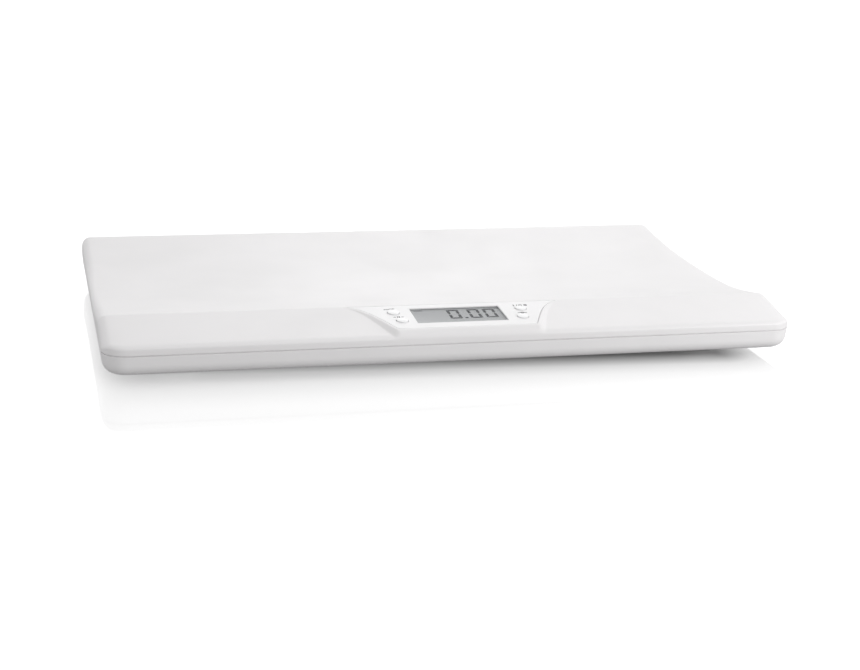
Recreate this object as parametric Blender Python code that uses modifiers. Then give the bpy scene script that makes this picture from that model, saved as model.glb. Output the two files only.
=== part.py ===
"""Digital baby weighing scale: a two-shell tray scale with a display console, buttons, load-cell feet and a
battery compartment. Metres, +Z up, front towards -Y. Origin on the floor under the centre of the plan."""
import math

import bmesh
import bpy
from mathutils import Matrix, Vector

# Overall sizes
LENGTH = 0.550
WIDTH = 0.330
PLAN_RADIUS = 0.0185
BACK_RADIUS = 0.0075
LEAST_RADIUS = 0.0012
WALL = 0.0022
GAP = 0.0003
OVERRUN = 0.002
EMBED = 0.0009

# Heights above the floor
UNDERSIDE = 0.0094
PARTING = 0.0259
GROOVE = 0.0008
GROOVE_DEPTH = 0.0011
CREST_HEIGHT = 0.0420
LOW_SHARE = 0.2357
RIM_DROP = 0.0013

# Tray section, front to back
CREST_BACK = 0.0575
LOW_BACK = 0.1800
RIM_INSET = 0.0046
RIM_FALL = 0.0060
FASCIA_DROP_SHARE = 0.5134
FASCIA_LIP = 0.0055
FRONT_WALL = 0.0040
FRONT_POWER = 2.2
BACK_POWER = 1.7
END_ROUND = 0.0076
END_FALL = 0.0070
END_FALL_SHARE = 0.9
END_ROUND_RATIO = 1.45

# Console: the raised plateau round the display
CONSOLE_X = 0.0028
PANEL_DROP_SHARE = 0.2941
PLATEAU_LIP = 0.0062
FLANK_MARGIN = 0.0446
FLANK_TAPER = 0.36
FLANK_FLARE = 0.0120
FLANK_REACH = 0.0080
FLANK_LEAST = 0.0029
FLANK_GRADE = 1.16
FLANK_WIDENING = 0.0470

# Console panel, display and buttons, measured down the panel from the crest
PANEL_TOP = 0.0012
PANEL_BOTTOM = 0.0506
PANEL_EDGE = 0.0020
PANEL_THICK = 0.0011
PANEL_CORNER = 0.0030
WINDOW_X = -0.0012
WINDOW_TOP = 0.0084
WINDOW_TALL = 0.0318
WINDOW_WIDE = 0.0728
WINDOW_SUNK = 0.0002
CELL_MARGIN = 0.0026
CELL_THICK = 0.0028
FRAME_WALL = 0.0018
FRAME_LEDGE = 0.0014
ELASTOMER_WIDE = 0.0030
BUTTON_DIAMETER = 0.0090
BUTTON_PROUD = 0.0010
BUTTON_DOME = 0.0005
BUTTON_CLEARANCE = 0.0003
BUTTON_FLANGE = 0.0014
FLANGE_THICK = 0.0010
STEM_DIAMETER = 0.0036
STEM_LONG = 0.0008
BUTTON_TRAVEL = 0.0008
UPPER_BUTTON_ASIDE = 0.0156
UPPER_BUTTON_DOWN = 0.0166
LOWER_BUTTON_ASIDE = 0.0122
LOWER_BUTTON_DOWN = 0.0338
PLUNGER_DIAMETER = 0.0032
PLUNGER_LONG = 0.0032
PLUNGER_SHOWING = 0.0016
SWITCH_SIDE = 0.0060
SWITCH_TALL = 0.0036
SWITCH_FLOOR = 0.0008

# Main board and what it carries
BOARD_MARGIN = 0.0336
BOARD_TOP = 0.0040
BOARD_TALL = 0.0370
BOARD_THICK = 0.0016
BOARD_SCREW_EDGE = 0.0060
BOARD_SCREW_DOWN = 0.0128
BOARD_SCREW_LONG = 0.0055
BOARD_SHAFT = 0.0018
BOARD_HEAD = 0.0040
BOARD_HEAD_TALL = 0.0013
BOARD_BOSS = 0.0060
CHIP_SIDE = 0.0120
CHIP_THICK = 0.0016
BUZZER_DIAMETER = 0.0120
BUZZER_TALL = 0.0035
BUZZER_MARGIN = 0.0360

# Lower shell
BASE_EDGE_RADIUS = 0.0100
BASE_DRAFT = 0.0006
POST_TOP = 0.0165
POST_DIAMETER = 0.0104
BOSS_DIAMETER = 0.0078
RIB_THICK = 0.0016
RIB_DEEP = 0.0040
FLOOR_RIB_TALL = 0.0030

# Screws
CASE_SCREW_SHARE = 0.3564
CASE_SCREW_END = 0.0280
CASE_SCREW_EDGE = 0.0260
SCREW_HEAD = 0.0056
SCREW_HEAD_TALL = 0.0019
SCREW_SHAFT = 0.0026
SCREW_LONG = 0.0110
HEAD_SEAT = 0.0016
PILOT_SPARE = 0.0010

# Feet and load cells
FOOT_END = 0.0600
FOOT_SIDE = 0.0580
FOOT_DIAMETER = 0.0360
FOOT_CLEARANCE = 0.0006
FOOT_EDGE = 0.0008
PAD_DIAMETER = 0.0320
PAD_TALL = 0.0022
PAD_RECESS = 0.0010
PAD_EDGE = 0.0005
CUP_BOSS = 0.0090
CELL_SIDE = 0.0400
CELL_PLATE = 0.0020
CELL_SLOT = 0.0030
CELL_TONGUE = 0.0140
CELL_SEAT = 0.0016
SEAT_SIDE = 0.0070
LOCATOR_THICK = 0.0016
LOCATOR_TALL = 0.0030
LOCATOR_LONG = 0.0120

# Batteries
AAA_DIAMETER = 0.0105
AAA_LENGTH = 0.0445
AAA_NIPPLE = 0.0038
AAA_NIPPLE_TALL = 0.0009
AAA_COUNT = 3
AAA_PITCH = 0.0113
SPRING_ROOM = 0.0058
PLATE_THICK = 0.0005
SPRING_WIRE = 0.0006
SPRING_TURNS = 3
SPRING_WIDE_RADIUS = 0.0038
SPRING_NARROW_RADIUS = 0.0022
BATTERY_Y = -0.0560
POCKET_WALL = 0.0016
DOOR_MARGIN_X = 0.0050
DOOR_MARGIN_Y = 0.0040
DOOR_THICK = 0.0018
DOOR_TRAVEL = 0.0080
DOOR_GRIP = 0.0120
DOOR_TAB = 0.0050
DOOR_TAB_REACH = 0.0020
DOOR_TAB_THICK = 0.0008
DOOR_GAP = 0.0003
TAB_STARTS = (-0.0200, 0.0160)
GRIP_COUNT = 4
GRIP_START = 0.0050
GRIP_PITCH = 0.0024
GRIP_DEEP = 0.0006

# Leads inside the case
LEAD_DIAMETER = 0.0016
LEAD_STEP = 0.0150
LEAD_FRONT_MARGIN = 0.0140
LEAD_BACK_MARGIN = 0.0400
LEAD_INSET = 0.0060
LEAD_OFFSET = 0.0100
LEAD_RUN = 0.0060

# Number of steps along curves
CORNER_STEPS = 5
ROUND_STEPS = 4
INNER_ROUND_STEPS = 2
CRADLE_STEPS = 5
RIB_STEPS = 8
WIDE_SIDES = 24
BUTTON_SIDES = 20
SMALL_SIDES = 12

FRONT = -WIDTH / 2
BACK = WIDTH / 2
END = LENGTH / 2
CREST_Y = FRONT + CREST_BACK
LOW_Y = FRONT + LOW_BACK
RIM_Y = BACK - RIM_INSET
TRAY_BOTTOM = PARTING + GROOVE / 2
BASE_TOP = PARTING - GROOVE / 2
FLOOR_TOP = UNDERSIDE + WALL
CREST_RISE = CREST_HEIGHT - TRAY_BOTTOM
LOW_HEIGHT = TRAY_BOTTOM + CREST_RISE * LOW_SHARE
RIM_HEIGHT = CREST_HEIGHT - RIM_DROP
FASCIA_GRADE = CREST_RISE * FASCIA_DROP_SHARE / (CREST_BACK - FASCIA_LIP)
PANEL_GRADE = CREST_RISE * PANEL_DROP_SHARE / (CREST_BACK - PLATEAU_LIP)
PANEL_ANGLE = math.atan(PANEL_GRADE)
FLANK_BASE = WINDOW_WIDE / 2 + FLANK_MARGIN
FLANK_END = FLANK_BASE + FLANK_WIDENING
UPPER_BUTTON = (WINDOW_WIDE / 2 + UPPER_BUTTON_ASIDE, UPPER_BUTTON_DOWN)
LOWER_BUTTON = (WINDOW_WIDE / 2 + LOWER_BUTTON_ASIDE, LOWER_BUTTON_DOWN)
BOARD_WIDE = WINDOW_WIDE + 2 * BOARD_MARGIN
BOARD_SCREW = (BOARD_WIDE / 2 - BOARD_SCREW_EDGE, BOARD_SCREW_DOWN)
LEAD_FRONT_X = BOARD_WIDE / 2 - LEAD_FRONT_MARGIN
LEAD_BACK_X = BOARD_WIDE / 2 - LEAD_BACK_MARGIN
BUZZER_X = BOARD_WIDE / 2 - BUZZER_MARGIN
CASE_SCREWS_X = (END * CASE_SCREW_SHARE, END - CASE_SCREW_END)
RIB_X = (CASE_SCREWS_X[0] + END - FOOT_END) / 2


def clear_scene():
    for old in list(bpy.data.objects):
        bpy.data.objects.remove(old, do_unlink=True)


def make_collection(name):
    group = bpy.data.collections.new(name)
    bpy.context.scene.collection.children.link(group)
    return group


def make_material(name, color, roughness, metallic=0.0, alpha=1.0):
    material = bpy.data.materials.new(name)
    material.use_nodes = True
    shader = material.node_tree.nodes["Principled BSDF"]
    shader.inputs["Base Color"].default_value = (*color, 1.0)
    shader.inputs["Roughness"].default_value = roughness
    shader.inputs["Metallic"].default_value = metallic
    shader.inputs["Alpha"].default_value = alpha
    material.diffuse_color = (*color, alpha)
    return material


clear_scene()
PARTS = make_collection("baby_weighing_scale")
CUTTERS = make_collection("cutters")

WHITE = make_material("white_abs", (0.90, 0.90, 0.90), 0.35)
PANEL_WHITE = make_material("panel_white", (0.91, 0.91, 0.91), 0.28)
CAP_WHITE = make_material("button_white", (0.93, 0.93, 0.93), 0.25)
CLEAR = make_material("clear_acrylic", (0.90, 0.92, 0.92), 0.05, alpha=0.35)
LCD_GREY = make_material("lcd_grey", (0.44, 0.45, 0.46), 0.30)
FRAME_WHITE = make_material("frame_white", (0.82, 0.82, 0.80), 0.50)
RUBBER_PINK = make_material("elastomer", (0.62, 0.35, 0.38), 0.70)
BOARD_GREEN = make_material("board_green", (0.05, 0.26, 0.12), 0.45)
CHIP_BLACK = make_material("chip_black", (0.03, 0.03, 0.03), 0.50)
STEEL = make_material("steel", (0.62, 0.62, 0.63), 0.35, 1.0)
RUBBER_GREY = make_material("rubber_grey", (0.30, 0.30, 0.31), 0.80)
BRASS = make_material("battery_band", (0.55, 0.56, 0.58), 0.35, 0.6)
LEAD_GREY = make_material("lead_grey", (0.35, 0.35, 0.37), 0.60)


def add_object(name, mesh, material=None, cutter=False, parent=None):
    """Links a mesh under its name, as a part or as a hidden cutter."""
    thing = bpy.data.objects.new(name, mesh)
    (CUTTERS if cutter else PARTS).objects.link(thing)
    if cutter:
        thing.hide_render = True
        thing.display_type = "WIRE"
    if material:
        mesh.materials.append(material)
    if parent:
        thing.parent = parent
    return thing


def finish_mesh(name, shape, smooth=True):
    bmesh.ops.recalc_face_normals(shape, faces=shape.faces)
    mesh = bpy.data.meshes.new(name)
    shape.to_mesh(mesh)
    shape.free()
    if smooth:
        mesh.shade_smooth()
        mesh.set_sharp_from_angle(angle=math.radians(32))
    return mesh


def modify(thing, kind, **values):
    modifier = thing.modifiers.new(kind.lower(), kind)
    for key, value in values.items():
        setattr(modifier, key, value)
    return modifier


def cut(thing, cutter):
    return modify(thing, "BOOLEAN", operation="DIFFERENCE", object=cutter, solver="EXACT")


def join(thing, other):
    return modify(thing, "BOOLEAN", operation="UNION", object=other, solver="EXACT")


def add_box(shape, low, high):
    """Adds a box between two corners to a bmesh."""
    low, high = Vector(low), Vector(high)
    size = high - low
    place = Matrix.Translation((low + high) / 2) @ Matrix.Diagonal((*size, 1.0))
    bmesh.ops.create_cube(shape, size=1.0, matrix=place)


def add_drum(shape, centre, radius, low, high, sides=WIDE_SIDES):
    """Adds an upright capped cylinder to a bmesh."""
    place = Matrix.Translation((centre[0], centre[1], (low + high) / 2))
    bmesh.ops.create_cone(
        shape, cap_ends=True, segments=sides, radius1=radius, radius2=radius, depth=high - low, matrix=place
    )


def box_mesh(name, low, high):
    shape = bmesh.new()
    add_box(shape, low, high)
    return finish_mesh(name, shape, smooth=False)


def drum_mesh(name, centre, radius, low, high, sides=WIDE_SIDES):
    shape = bmesh.new()
    add_drum(shape, centre, radius, low, high, sides)
    return finish_mesh(name, shape)


def plate_mesh(name, outline, low, high, smooth=True):
    """Flat outline given a thickness between two heights, as a welded mesh."""
    curve = bpy.data.curves.new(name, "CURVE")
    curve.dimensions = "2D"
    curve.fill_mode = "BOTH"
    curve.extrude = (high - low) / 2
    spline = curve.splines.new("POLY")
    spline.points.add(len(outline) - 1)
    for slot, (x, y) in zip(spline.points, outline):
        slot.co = (x, y, 0.0, 1.0)
    spline.use_cyclic_u = True
    drawn = bpy.data.objects.new(name, curve)
    bpy.context.scene.collection.objects.link(drawn)
    bpy.context.view_layer.update()
    flat = bpy.data.meshes.new_from_object(drawn.evaluated_get(bpy.context.evaluated_depsgraph_get()))
    bpy.data.objects.remove(drawn, do_unlink=True)
    shape = bmesh.new()
    shape.from_mesh(flat)
    bmesh.ops.remove_doubles(shape, verts=shape.verts, dist=GAP / 100)
    bmesh.ops.dissolve_limit(shape, angle_limit=math.radians(1), verts=shape.verts, edges=shape.edges)
    bmesh.ops.translate(shape, vec=(0, 0, (low + high) / 2), verts=shape.verts)
    return finish_mesh(name, shape, smooth)


def add_turned(name, profile, material, sides=WIDE_SIDES, parent=None):
    """Turns a profile of (radius, height) points, written from the top of the axis down to its foot."""
    mesh = bpy.data.meshes.new(name)
    points = [(radius, 0.0, height) for radius, height in profile]
    mesh.from_pydata(points, [(at, at + 1) for at in range(len(points) - 1)], [])
    thing = add_object(name, mesh, material, parent=parent)
    modify(
        thing, "SCREW", axis="Z", steps=sides, render_steps=sides, use_merge_vertices=True,
        merge_threshold=GAP / 10, use_smooth_shade=True,
    )
    return thing


def plan_outline(half_x, half_y, front_radius, back_radius, steps=CORNER_STEPS):
    """Anticlockwise outline with its own corner radius in front and behind."""
    points = []
    for turn, (sx, sy) in enumerate([(1, -1), (1, 1), (-1, 1), (-1, -1)]):
        radius = back_radius if sy > 0 else front_radius
        start = math.radians(90 * turn - 90)
        for step in range(steps + 1):
            angle = start + math.radians(90) * step / steps
            points.append((
                sx * (half_x - radius) + radius * math.cos(angle),
                sy * (half_y - radius) + radius * math.sin(angle),
            ))
    return points


# Tray surface


def fascia_height(y):
    return CREST_HEIGHT - FASCIA_GRADE * (CREST_Y - y)


def panel_height(y):
    return CREST_HEIGHT - PANEL_GRADE * (CREST_Y - y)


def cradle_height(y):
    """The cradle rises from its lowest line to the crest in front and to the rim behind."""
    if y < LOW_Y:
        share = (LOW_Y - y) / (LOW_Y - CREST_Y)
        return LOW_HEIGHT + (CREST_HEIGHT - LOW_HEIGHT) * share ** FRONT_POWER
    share = (y - LOW_Y) / (RIM_Y - LOW_Y)
    return LOW_HEIGHT + (RIM_HEIGHT - LOW_HEIGHT) * share ** BACK_POWER


def bezier(a, b, c, d, share):
    """Point on a cubic curve from a to d, with handles b and c."""
    rest = 1 - share
    return tuple(
        rest ** 3 * p + 3 * rest ** 2 * share * q + 3 * rest * share ** 2 * r + share ** 3 * s
        for p, q, r, s in zip(a, b, c, d)
    )


def front_curve(lip, height, grade, shares, inset, steps):
    """Rounding from the front wall, at its foot, up to a sloping top that begins a lip's width behind."""
    wall = (FRONT + inset, TRAY_BOTTOM + FRONT_WALL - inset)
    top = (FRONT + lip + inset, height(FRONT + lip + inset) - inset)
    low_share, high_share, pull_share = shares
    wall_handle = (wall[0] + pull_share * lip, wall[1] + low_share * (top[1] - wall[1]))
    top_handle = (top[0] - high_share * lip, top[1] - grade * high_share * lip)
    return [bezier(wall, wall_handle, top_handle, top, step / steps) for step in range(steps + 1)]


FASCIA_CURVE_SHARES = (0.56, 0.60, 0.0)
CONSOLE_CURVE_SHARES = (0.62, 0.50, 0.05)
FASCIA_STOP_SHARES = (0.20, 0.40, 0.60, 0.77, 0.91)


def front_half(lip, height, grade, shares, inset, bottom):
    """Section from the bottom edge up over the front to the crest."""
    steps = INNER_ROUND_STEPS if inset else ROUND_STEPS
    points = [(FRONT + inset, bottom)] + front_curve(lip, height, grade, shares, inset, steps)
    edge = points[-1][0]
    for share in FASCIA_STOP_SHARES:
        y = edge + (CREST_Y - edge) * share
        points.append((y, height(y) - inset))
    return points + [(CREST_Y, CREST_HEIGHT - inset)]


def back_half(inset, bottom):
    """Section from the crest through the cradle and down over the rim to the bottom edge."""
    points = []
    for start, stop in ((CREST_Y, LOW_Y), (LOW_Y, RIM_Y)):
        for step in range(1, CRADLE_STEPS + 1):
            y = start + (stop - start) * step / CRADLE_STEPS
            points.append((y, cradle_height(y) - inset))
    for turn in (math.radians(30), math.radians(60), math.radians(90)):
        points.append((
            RIM_Y + (RIM_INSET - inset) * math.sin(turn),
            RIM_HEIGHT - inset - RIM_FALL * (1 - math.cos(turn)),
        ))
    return points + [(BACK - inset, bottom)]


def flank_foot(down):
    """Half-width of the console at its flank's foot, a distance down from the crest."""
    return FLANK_BASE - FLANK_TAPER * down + FLANK_FLARE * math.exp(-down / FLANK_REACH)


def plateau_edge(down):
    rise = (FASCIA_GRADE - PANEL_GRADE) * down
    return flank_foot(down) - FLANK_LEAST - rise / FLANK_GRADE


def smooth(share):
    share = min(max(share, 0.0), 1.0)
    return share * share * (3 - 2 * share)


def corner_inset(depth, radius):
    """How far a rounded plan corner draws the front back, a depth in from the end."""
    short = max(radius - depth, 0.0)
    return radius - math.sqrt(max(radius ** 2 - short ** 2, 0.0))


def end_fall(height, depth):
    """How far the rounded end drops the surface, a depth in from the end."""
    fall = min(END_FALL, END_FALL_SHARE * max(height - TRAY_BOTTOM, 0.0))
    reach = min(END_ROUND, END_ROUND_RATIO * fall)
    if depth >= reach or reach <= 0:
        return 0.0
    return fall * (1 - math.sqrt(max(1 - (1 - depth / reach) ** 2, 0.0)))


FLANK_SHARES = (0.0, 0.2, 0.4, 0.6, 0.8, 1.0)
INNER_FLANK_SHARES = (0.0, 0.5, 1.0)
FLANK_SPREAD_SHARE = 0.30
END_SHARES = (1.0, 0.70, 0.48, 0.33, 0.20, 0.10, 0.03, 0.0)
INNER_END_SHARES = (1.0, 0.45, 0.12, 0.0)


def half_stations(inset):
    """The loft's stations from the middle to one end: kind, share, and how much console each holds."""
    rows = [("middle", 0.0, 1.0)]
    flank_shares = INNER_FLANK_SHARES if inset else FLANK_SHARES
    rows += [("flank", share, 1 - smooth(share)) for share in flank_shares]
    rows += [("end", share, 0.0) for share in (INNER_END_SHARES if inset else END_SHARES)]
    return rows


def station_point(station, plain, raised, side, inset):
    """One point of a station: the section's, moved for the flank, the plan corner and the rounded end."""
    kind, share, console = station
    y, z = (p + console * (r - p) for p, r in zip(plain, raised))
    down = max(CREST_Y - plain[0], 0.0)
    behind = smooth((plain[0] - CREST_Y) / CREST_BACK)
    radius = PLAN_RADIUS - inset
    x = 0.0
    aside = CONSOLE_X
    if kind == "flank":
        near = plateau_edge(down) + share * (flank_foot(down) - plateau_edge(down))
        spread = FLANK_END * (FLANK_SPREAD_SHARE + (1 - FLANK_SPREAD_SHARE) * share)
        x = near + behind * (spread - near)
    if kind == "end":
        aside = 0.0
        depth = share * radius
        x = END - inset - depth
        if y < CREST_Y:
            drawn = corner_inset(depth, radius)
            y = CREST_Y - (CREST_Y - y) * (CREST_BACK - inset - drawn) / (CREST_BACK - inset)
        if y > LOW_Y:
            drawn = corner_inset(depth, BACK_RADIUS - inset)
            y = LOW_Y + (y - LOW_Y) * (BACK - LOW_Y - inset - drawn) / (BACK - LOW_Y - inset)
        if z > TRAY_BOTTOM:
            z -= end_fall(z, depth)
    return (side * x + aside, y, z)


def tray_loft(name, inset, bottom):
    """Closed body under the tray's surface: a loft of sections along its length, drawn in by an inset."""
    rear = back_half(inset, bottom)
    plain = front_half(FASCIA_LIP, fascia_height, FASCIA_GRADE, FASCIA_CURVE_SHARES, inset, bottom) + rear
    raised = front_half(PLATEAU_LIP, panel_height, PANEL_GRADE, CONSOLE_CURVE_SHARES, inset, bottom) + rear
    right = half_stations(inset)
    stations = [(row, -1) for row in reversed(right)] + [(row, 1) for row in right[1:]]
    shape = bmesh.new()
    rows = []
    for station, side in stations:
        rows.append([
            shape.verts.new(station_point(station, p, r, side, inset)) for p, r in zip(plain, raised)
        ])
    for low, high in zip(rows, rows[1:]):
        for a, b, c, d in zip(low, high, high[1:], low[1:]):
            shape.faces.new((a, b, c, d))
    shape.faces.new(rows[0])
    shape.faces.new(list(reversed(rows[-1])))
    shape.faces.new([row[0] for row in reversed(rows)] + [row[-1] for row in rows])
    return finish_mesh(name, shape)


def surface_height(y):
    """Outer height of the tray away from its ends and corners."""
    if y >= CREST_Y:
        return cradle_height(y)
    return fascia_height(y)


def case_screw_places():
    places = []
    for x in CASE_SCREWS_X:
        for y in (FRONT + CASE_SCREW_EDGE, BACK - CASE_SCREW_EDGE):
            places += [(x, y), (-x, y)]
    return places


CASE_SCREW_PLACES = case_screw_places()
HEAD_TOP = POST_TOP - HEAD_SEAT - GAP
SCREW_TIP = HEAD_TOP + SCREW_LONG


def panel_outline(inset):
    """Outline of the console panel, drawn in by an inset, in console-frame coordinates."""
    lean = math.cos(PANEL_ANGLE)
    stops = 9
    side = []
    for stop in range(stops + 1):
        down = PANEL_TOP + inset + (PANEL_BOTTOM - PANEL_TOP - 2 * inset) * stop / stops
        side.append((plateau_edge(down * lean) - PANEL_EDGE - inset, -down))
    corner_x, corner_y = side[-1]
    before_x, before_y = side[-2]
    span = math.hypot(corner_x - before_x, corner_y - before_y)
    cut_share = min(PANEL_CORNER / span, 1 - OVERRUN / span)
    side[-1] = (corner_x + (before_x - corner_x) * cut_share, corner_y + (before_y - corner_y) * cut_share)
    middle_share = 0.3
    side.append((corner_x - PANEL_CORNER * middle_share, corner_y + PANEL_CORNER * middle_share))
    side.append((corner_x - PANEL_CORNER, corner_y))
    right = list(reversed(side))
    left = [(-x, y) for x, y in side]
    return right + left


def button_places():
    names = ("unit", "hold", "on_off", "tare")
    spots = [(side * x, down) for side in (-1, 1) for x, down in (UPPER_BUTTON, LOWER_BUTTON)]
    return list(zip(names, spots))


# Depths below the panel's face, in the console frame
PANEL_FLOOR = -PANEL_THICK - GAP
SHELL_UNDER = -WALL - GAP
CELL_TOP = PANEL_FLOOR - GAP
CELL_UNDER = CELL_TOP - CELL_THICK
FLANGE_TOP = SHELL_UNDER - GAP
STEM_TIP = FLANGE_TOP - FLANGE_THICK - BUTTON_TRAVEL - STEM_LONG
PLUNGER_TOP = STEM_TIP - GAP
SWITCH_TOP = PLUNGER_TOP - PLUNGER_SHOWING
BOARD_FACE = SWITCH_TOP - SWITCH_TALL - GAP
BOARD_UNDER = BOARD_FACE - BOARD_THICK
WINDOW_MIDDLE = WINDOW_TOP + WINDOW_TALL / 2


def window_box(margin, low, high):
    half = WINDOW_WIDE / 2 + margin
    tall = WINDOW_TALL / 2 + margin
    return (
        (WINDOW_X - half, -WINDOW_MIDDLE - tall, low),
        (WINDOW_X + half, -WINDOW_MIDDLE + tall, high),
    )


def console_frame():
    """Empty on the crest line; its Y runs up the panel's slope and its Z stands square to the panel."""
    frame = bpy.data.objects.new("console_frame", None)
    frame.location = (CONSOLE_X, CREST_Y, CREST_HEIGHT)
    frame.rotation_euler = (PANEL_ANGLE, 0, 0)
    PARTS.objects.link(frame)
    return frame


def tray_ribs():
    """Stiffening ribs under the cradle: two slices that follow its curve and one across its lowest line."""
    low_y, high_y = CREST_Y + CREST_BACK / 2, RIM_Y - CREST_BACK / 2
    curve = [low_y + (high_y - low_y) * step / RIB_STEPS for step in range(RIB_STEPS + 1)]
    top = [(y, cradle_height(y) - WALL + EMBED) for y in reversed(curve)]
    under = [(y, cradle_height(y) - WALL - RIB_DEEP) for y in curve]
    stand = Matrix(((0, 0, 1, 0), (1, 0, 0, 0), (0, 1, 0, 0), (0, 0, 0, 1)))
    ribs = []
    for name, x in (("rib_left", -RIB_X), ("rib_right", RIB_X)):
        mesh = plate_mesh(name, under + top, x - RIB_THICK / 2, x + RIB_THICK / 2)
        mesh.transform(stand)
        ribs.append(add_object(name, mesh, cutter=True))
    low = (-RIB_X, LOW_Y - RIB_THICK / 2, LOW_HEIGHT - WALL - RIB_DEEP / 2)
    high = (RIB_X, LOW_Y + RIB_THICK / 2, LOW_HEIGHT - WALL + EMBED)
    ribs.append(add_object("rib_cross", box_mesh("rib_cross", low, high), cutter=True))
    return ribs


def make_tray(frame):
    tray = add_object("tray_shell", tray_loft("tray_shell", 0.0, TRAY_BOTTOM), WHITE)
    cut(tray, add_object("tray_cavity", tray_loft("tray_cavity", WALL, UNDERSIDE), cutter=True))
    bosses = bmesh.new()
    for x, y in CASE_SCREW_PLACES:
        top = surface_height(y) - WALL + EMBED
        add_drum(bosses, (x, y), BOSS_DIAMETER / 2, POST_TOP + GAP, top, sides=SMALL_SIDES)
    join(tray, add_object("screw_bosses", finish_mesh("screw_bosses", bosses), cutter=True))
    for rib in tray_ribs():
        join(tray, rib)
    board_bosses = bmesh.new()
    for side in (-1, 1):
        centre = (side * BOARD_SCREW[0], -BOARD_SCREW[1])
        root = PANEL_FLOOR - EMBED / 2
        add_drum(board_bosses, centre, BOARD_BOSS / 2, BOARD_FACE + GAP, root, sides=SMALL_SIDES)
    bosses = finish_mesh("board_bosses", board_bosses)
    join(tray, add_object("board_bosses", bosses, cutter=True, parent=frame))
    recess = plate_mesh("panel_recess", panel_outline(-GAP), PANEL_FLOOR, OVERRUN)
    cut(tray, add_object("panel_recess", recess, cutter=True, parent=frame))
    openings = bmesh.new()
    add_box(openings, *window_box(CELL_MARGIN + GAP, -WALL - OVERRUN, OVERRUN))
    for _, (x, down) in button_places():
        radius = BUTTON_DIAMETER / 2 + BUTTON_CLEARANCE
        add_drum(openings, (x, -down), radius, -WALL - OVERRUN, OVERRUN, BUTTON_SIDES)
    opened = finish_mesh("console_openings", openings)
    cut(tray, add_object("console_openings", opened, cutter=True, parent=frame))
    pilots = bmesh.new()
    for x, y in CASE_SCREW_PLACES:
        pilot = SCREW_SHAFT / 2 + GAP
        add_drum(pilots, (x, y), pilot, POST_TOP - OVERRUN, SCREW_TIP + PILOT_SPARE, sides=SMALL_SIDES)
    cut(tray, add_object("screw_pilots", finish_mesh("screw_pilots", pilots), cutter=True))
    pilots = bmesh.new()
    for side in (-1, 1):
        centre = (side * BOARD_SCREW[0], -BOARD_SCREW[1])
        tip = BOARD_UNDER + BOARD_SCREW_LONG + PILOT_SPARE / 2
        add_drum(pilots, centre, BOARD_SHAFT / 2 + GAP, BOARD_FACE - OVERRUN, tip, sides=SMALL_SIDES)
    cut(tray, add_object("board_pilots", finish_mesh("board_pilots", pilots), cutter=True, parent=frame))
    return tray


# Lower shell


def base_rings():
    """Closed section of the lower shell as (inset, height) rings, up the outside and down inside."""
    rings = []
    radius = BASE_EDGE_RADIUS
    for step in range(ROUND_STEPS + 1):
        angle = math.radians(90) * step / ROUND_STEPS
        inset = BASE_DRAFT + radius * (1 - math.sin(angle))
        rings.append((inset, UNDERSIDE + radius * (1 - math.cos(angle))))
    inner = radius - WALL
    rings += [
        (0.0, BASE_TOP),
        (GROOVE_DEPTH, BASE_TOP),
        (GROOVE_DEPTH, TRAY_BOTTOM - GAP),
        (WALL, TRAY_BOTTOM - GAP),
    ]
    for step in range(INNER_ROUND_STEPS, -1, -1):
        angle = math.radians(90) * step / INNER_ROUND_STEPS
        rings.append((
            BASE_DRAFT + WALL + inner * (1 - math.sin(angle)),
            FLOOR_TOP + inner * (1 - math.cos(angle)),
        ))
    return rings


def base_mesh():
    shape = bmesh.new()
    loops = []
    for inset, height in base_rings():
        back_radius = max(BACK_RADIUS - inset, LEAST_RADIUS)
        outline = plan_outline(END - inset, -FRONT - inset, PLAN_RADIUS - inset, back_radius)
        loops.append([shape.verts.new((x, y, height)) for x, y in outline])
    count = len(loops[0])
    for low, high in zip(loops, loops[1:]):
        for index in range(count):
            after = (index + 1) % count
            shape.faces.new((low[index], low[after], high[after], high[index]))
    shape.faces.new(list(reversed(loops[0])))
    shape.faces.new(loops[-1])
    return finish_mesh("base_shell", shape)


def foot_places():
    x, y = END - FOOT_END, BACK - FOOT_SIDE
    return [("front_left", -x, -y), ("front_right", x, -y), ("back_left", -x, y), ("back_right", x, y)]


POCKET_X = (AAA_LENGTH + AAA_NIPPLE_TALL + SPRING_ROOM + 2 * (PLATE_THICK + 3 * GAP)) / 2
POCKET_Y = (AAA_PITCH * (AAA_COUNT - 1) + AAA_DIAMETER + 2 * GAP) / 2
DOOR_TOP = UNDERSIDE + DOOR_THICK
AAA_LOW = DOOR_TOP + GAP
POCKET_ROOF = AAA_LOW + AAA_DIAMETER + GAP
DOOR_X = POCKET_X + DOOR_MARGIN_X
DOOR_Y = POCKET_Y + DOOR_MARGIN_Y


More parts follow.
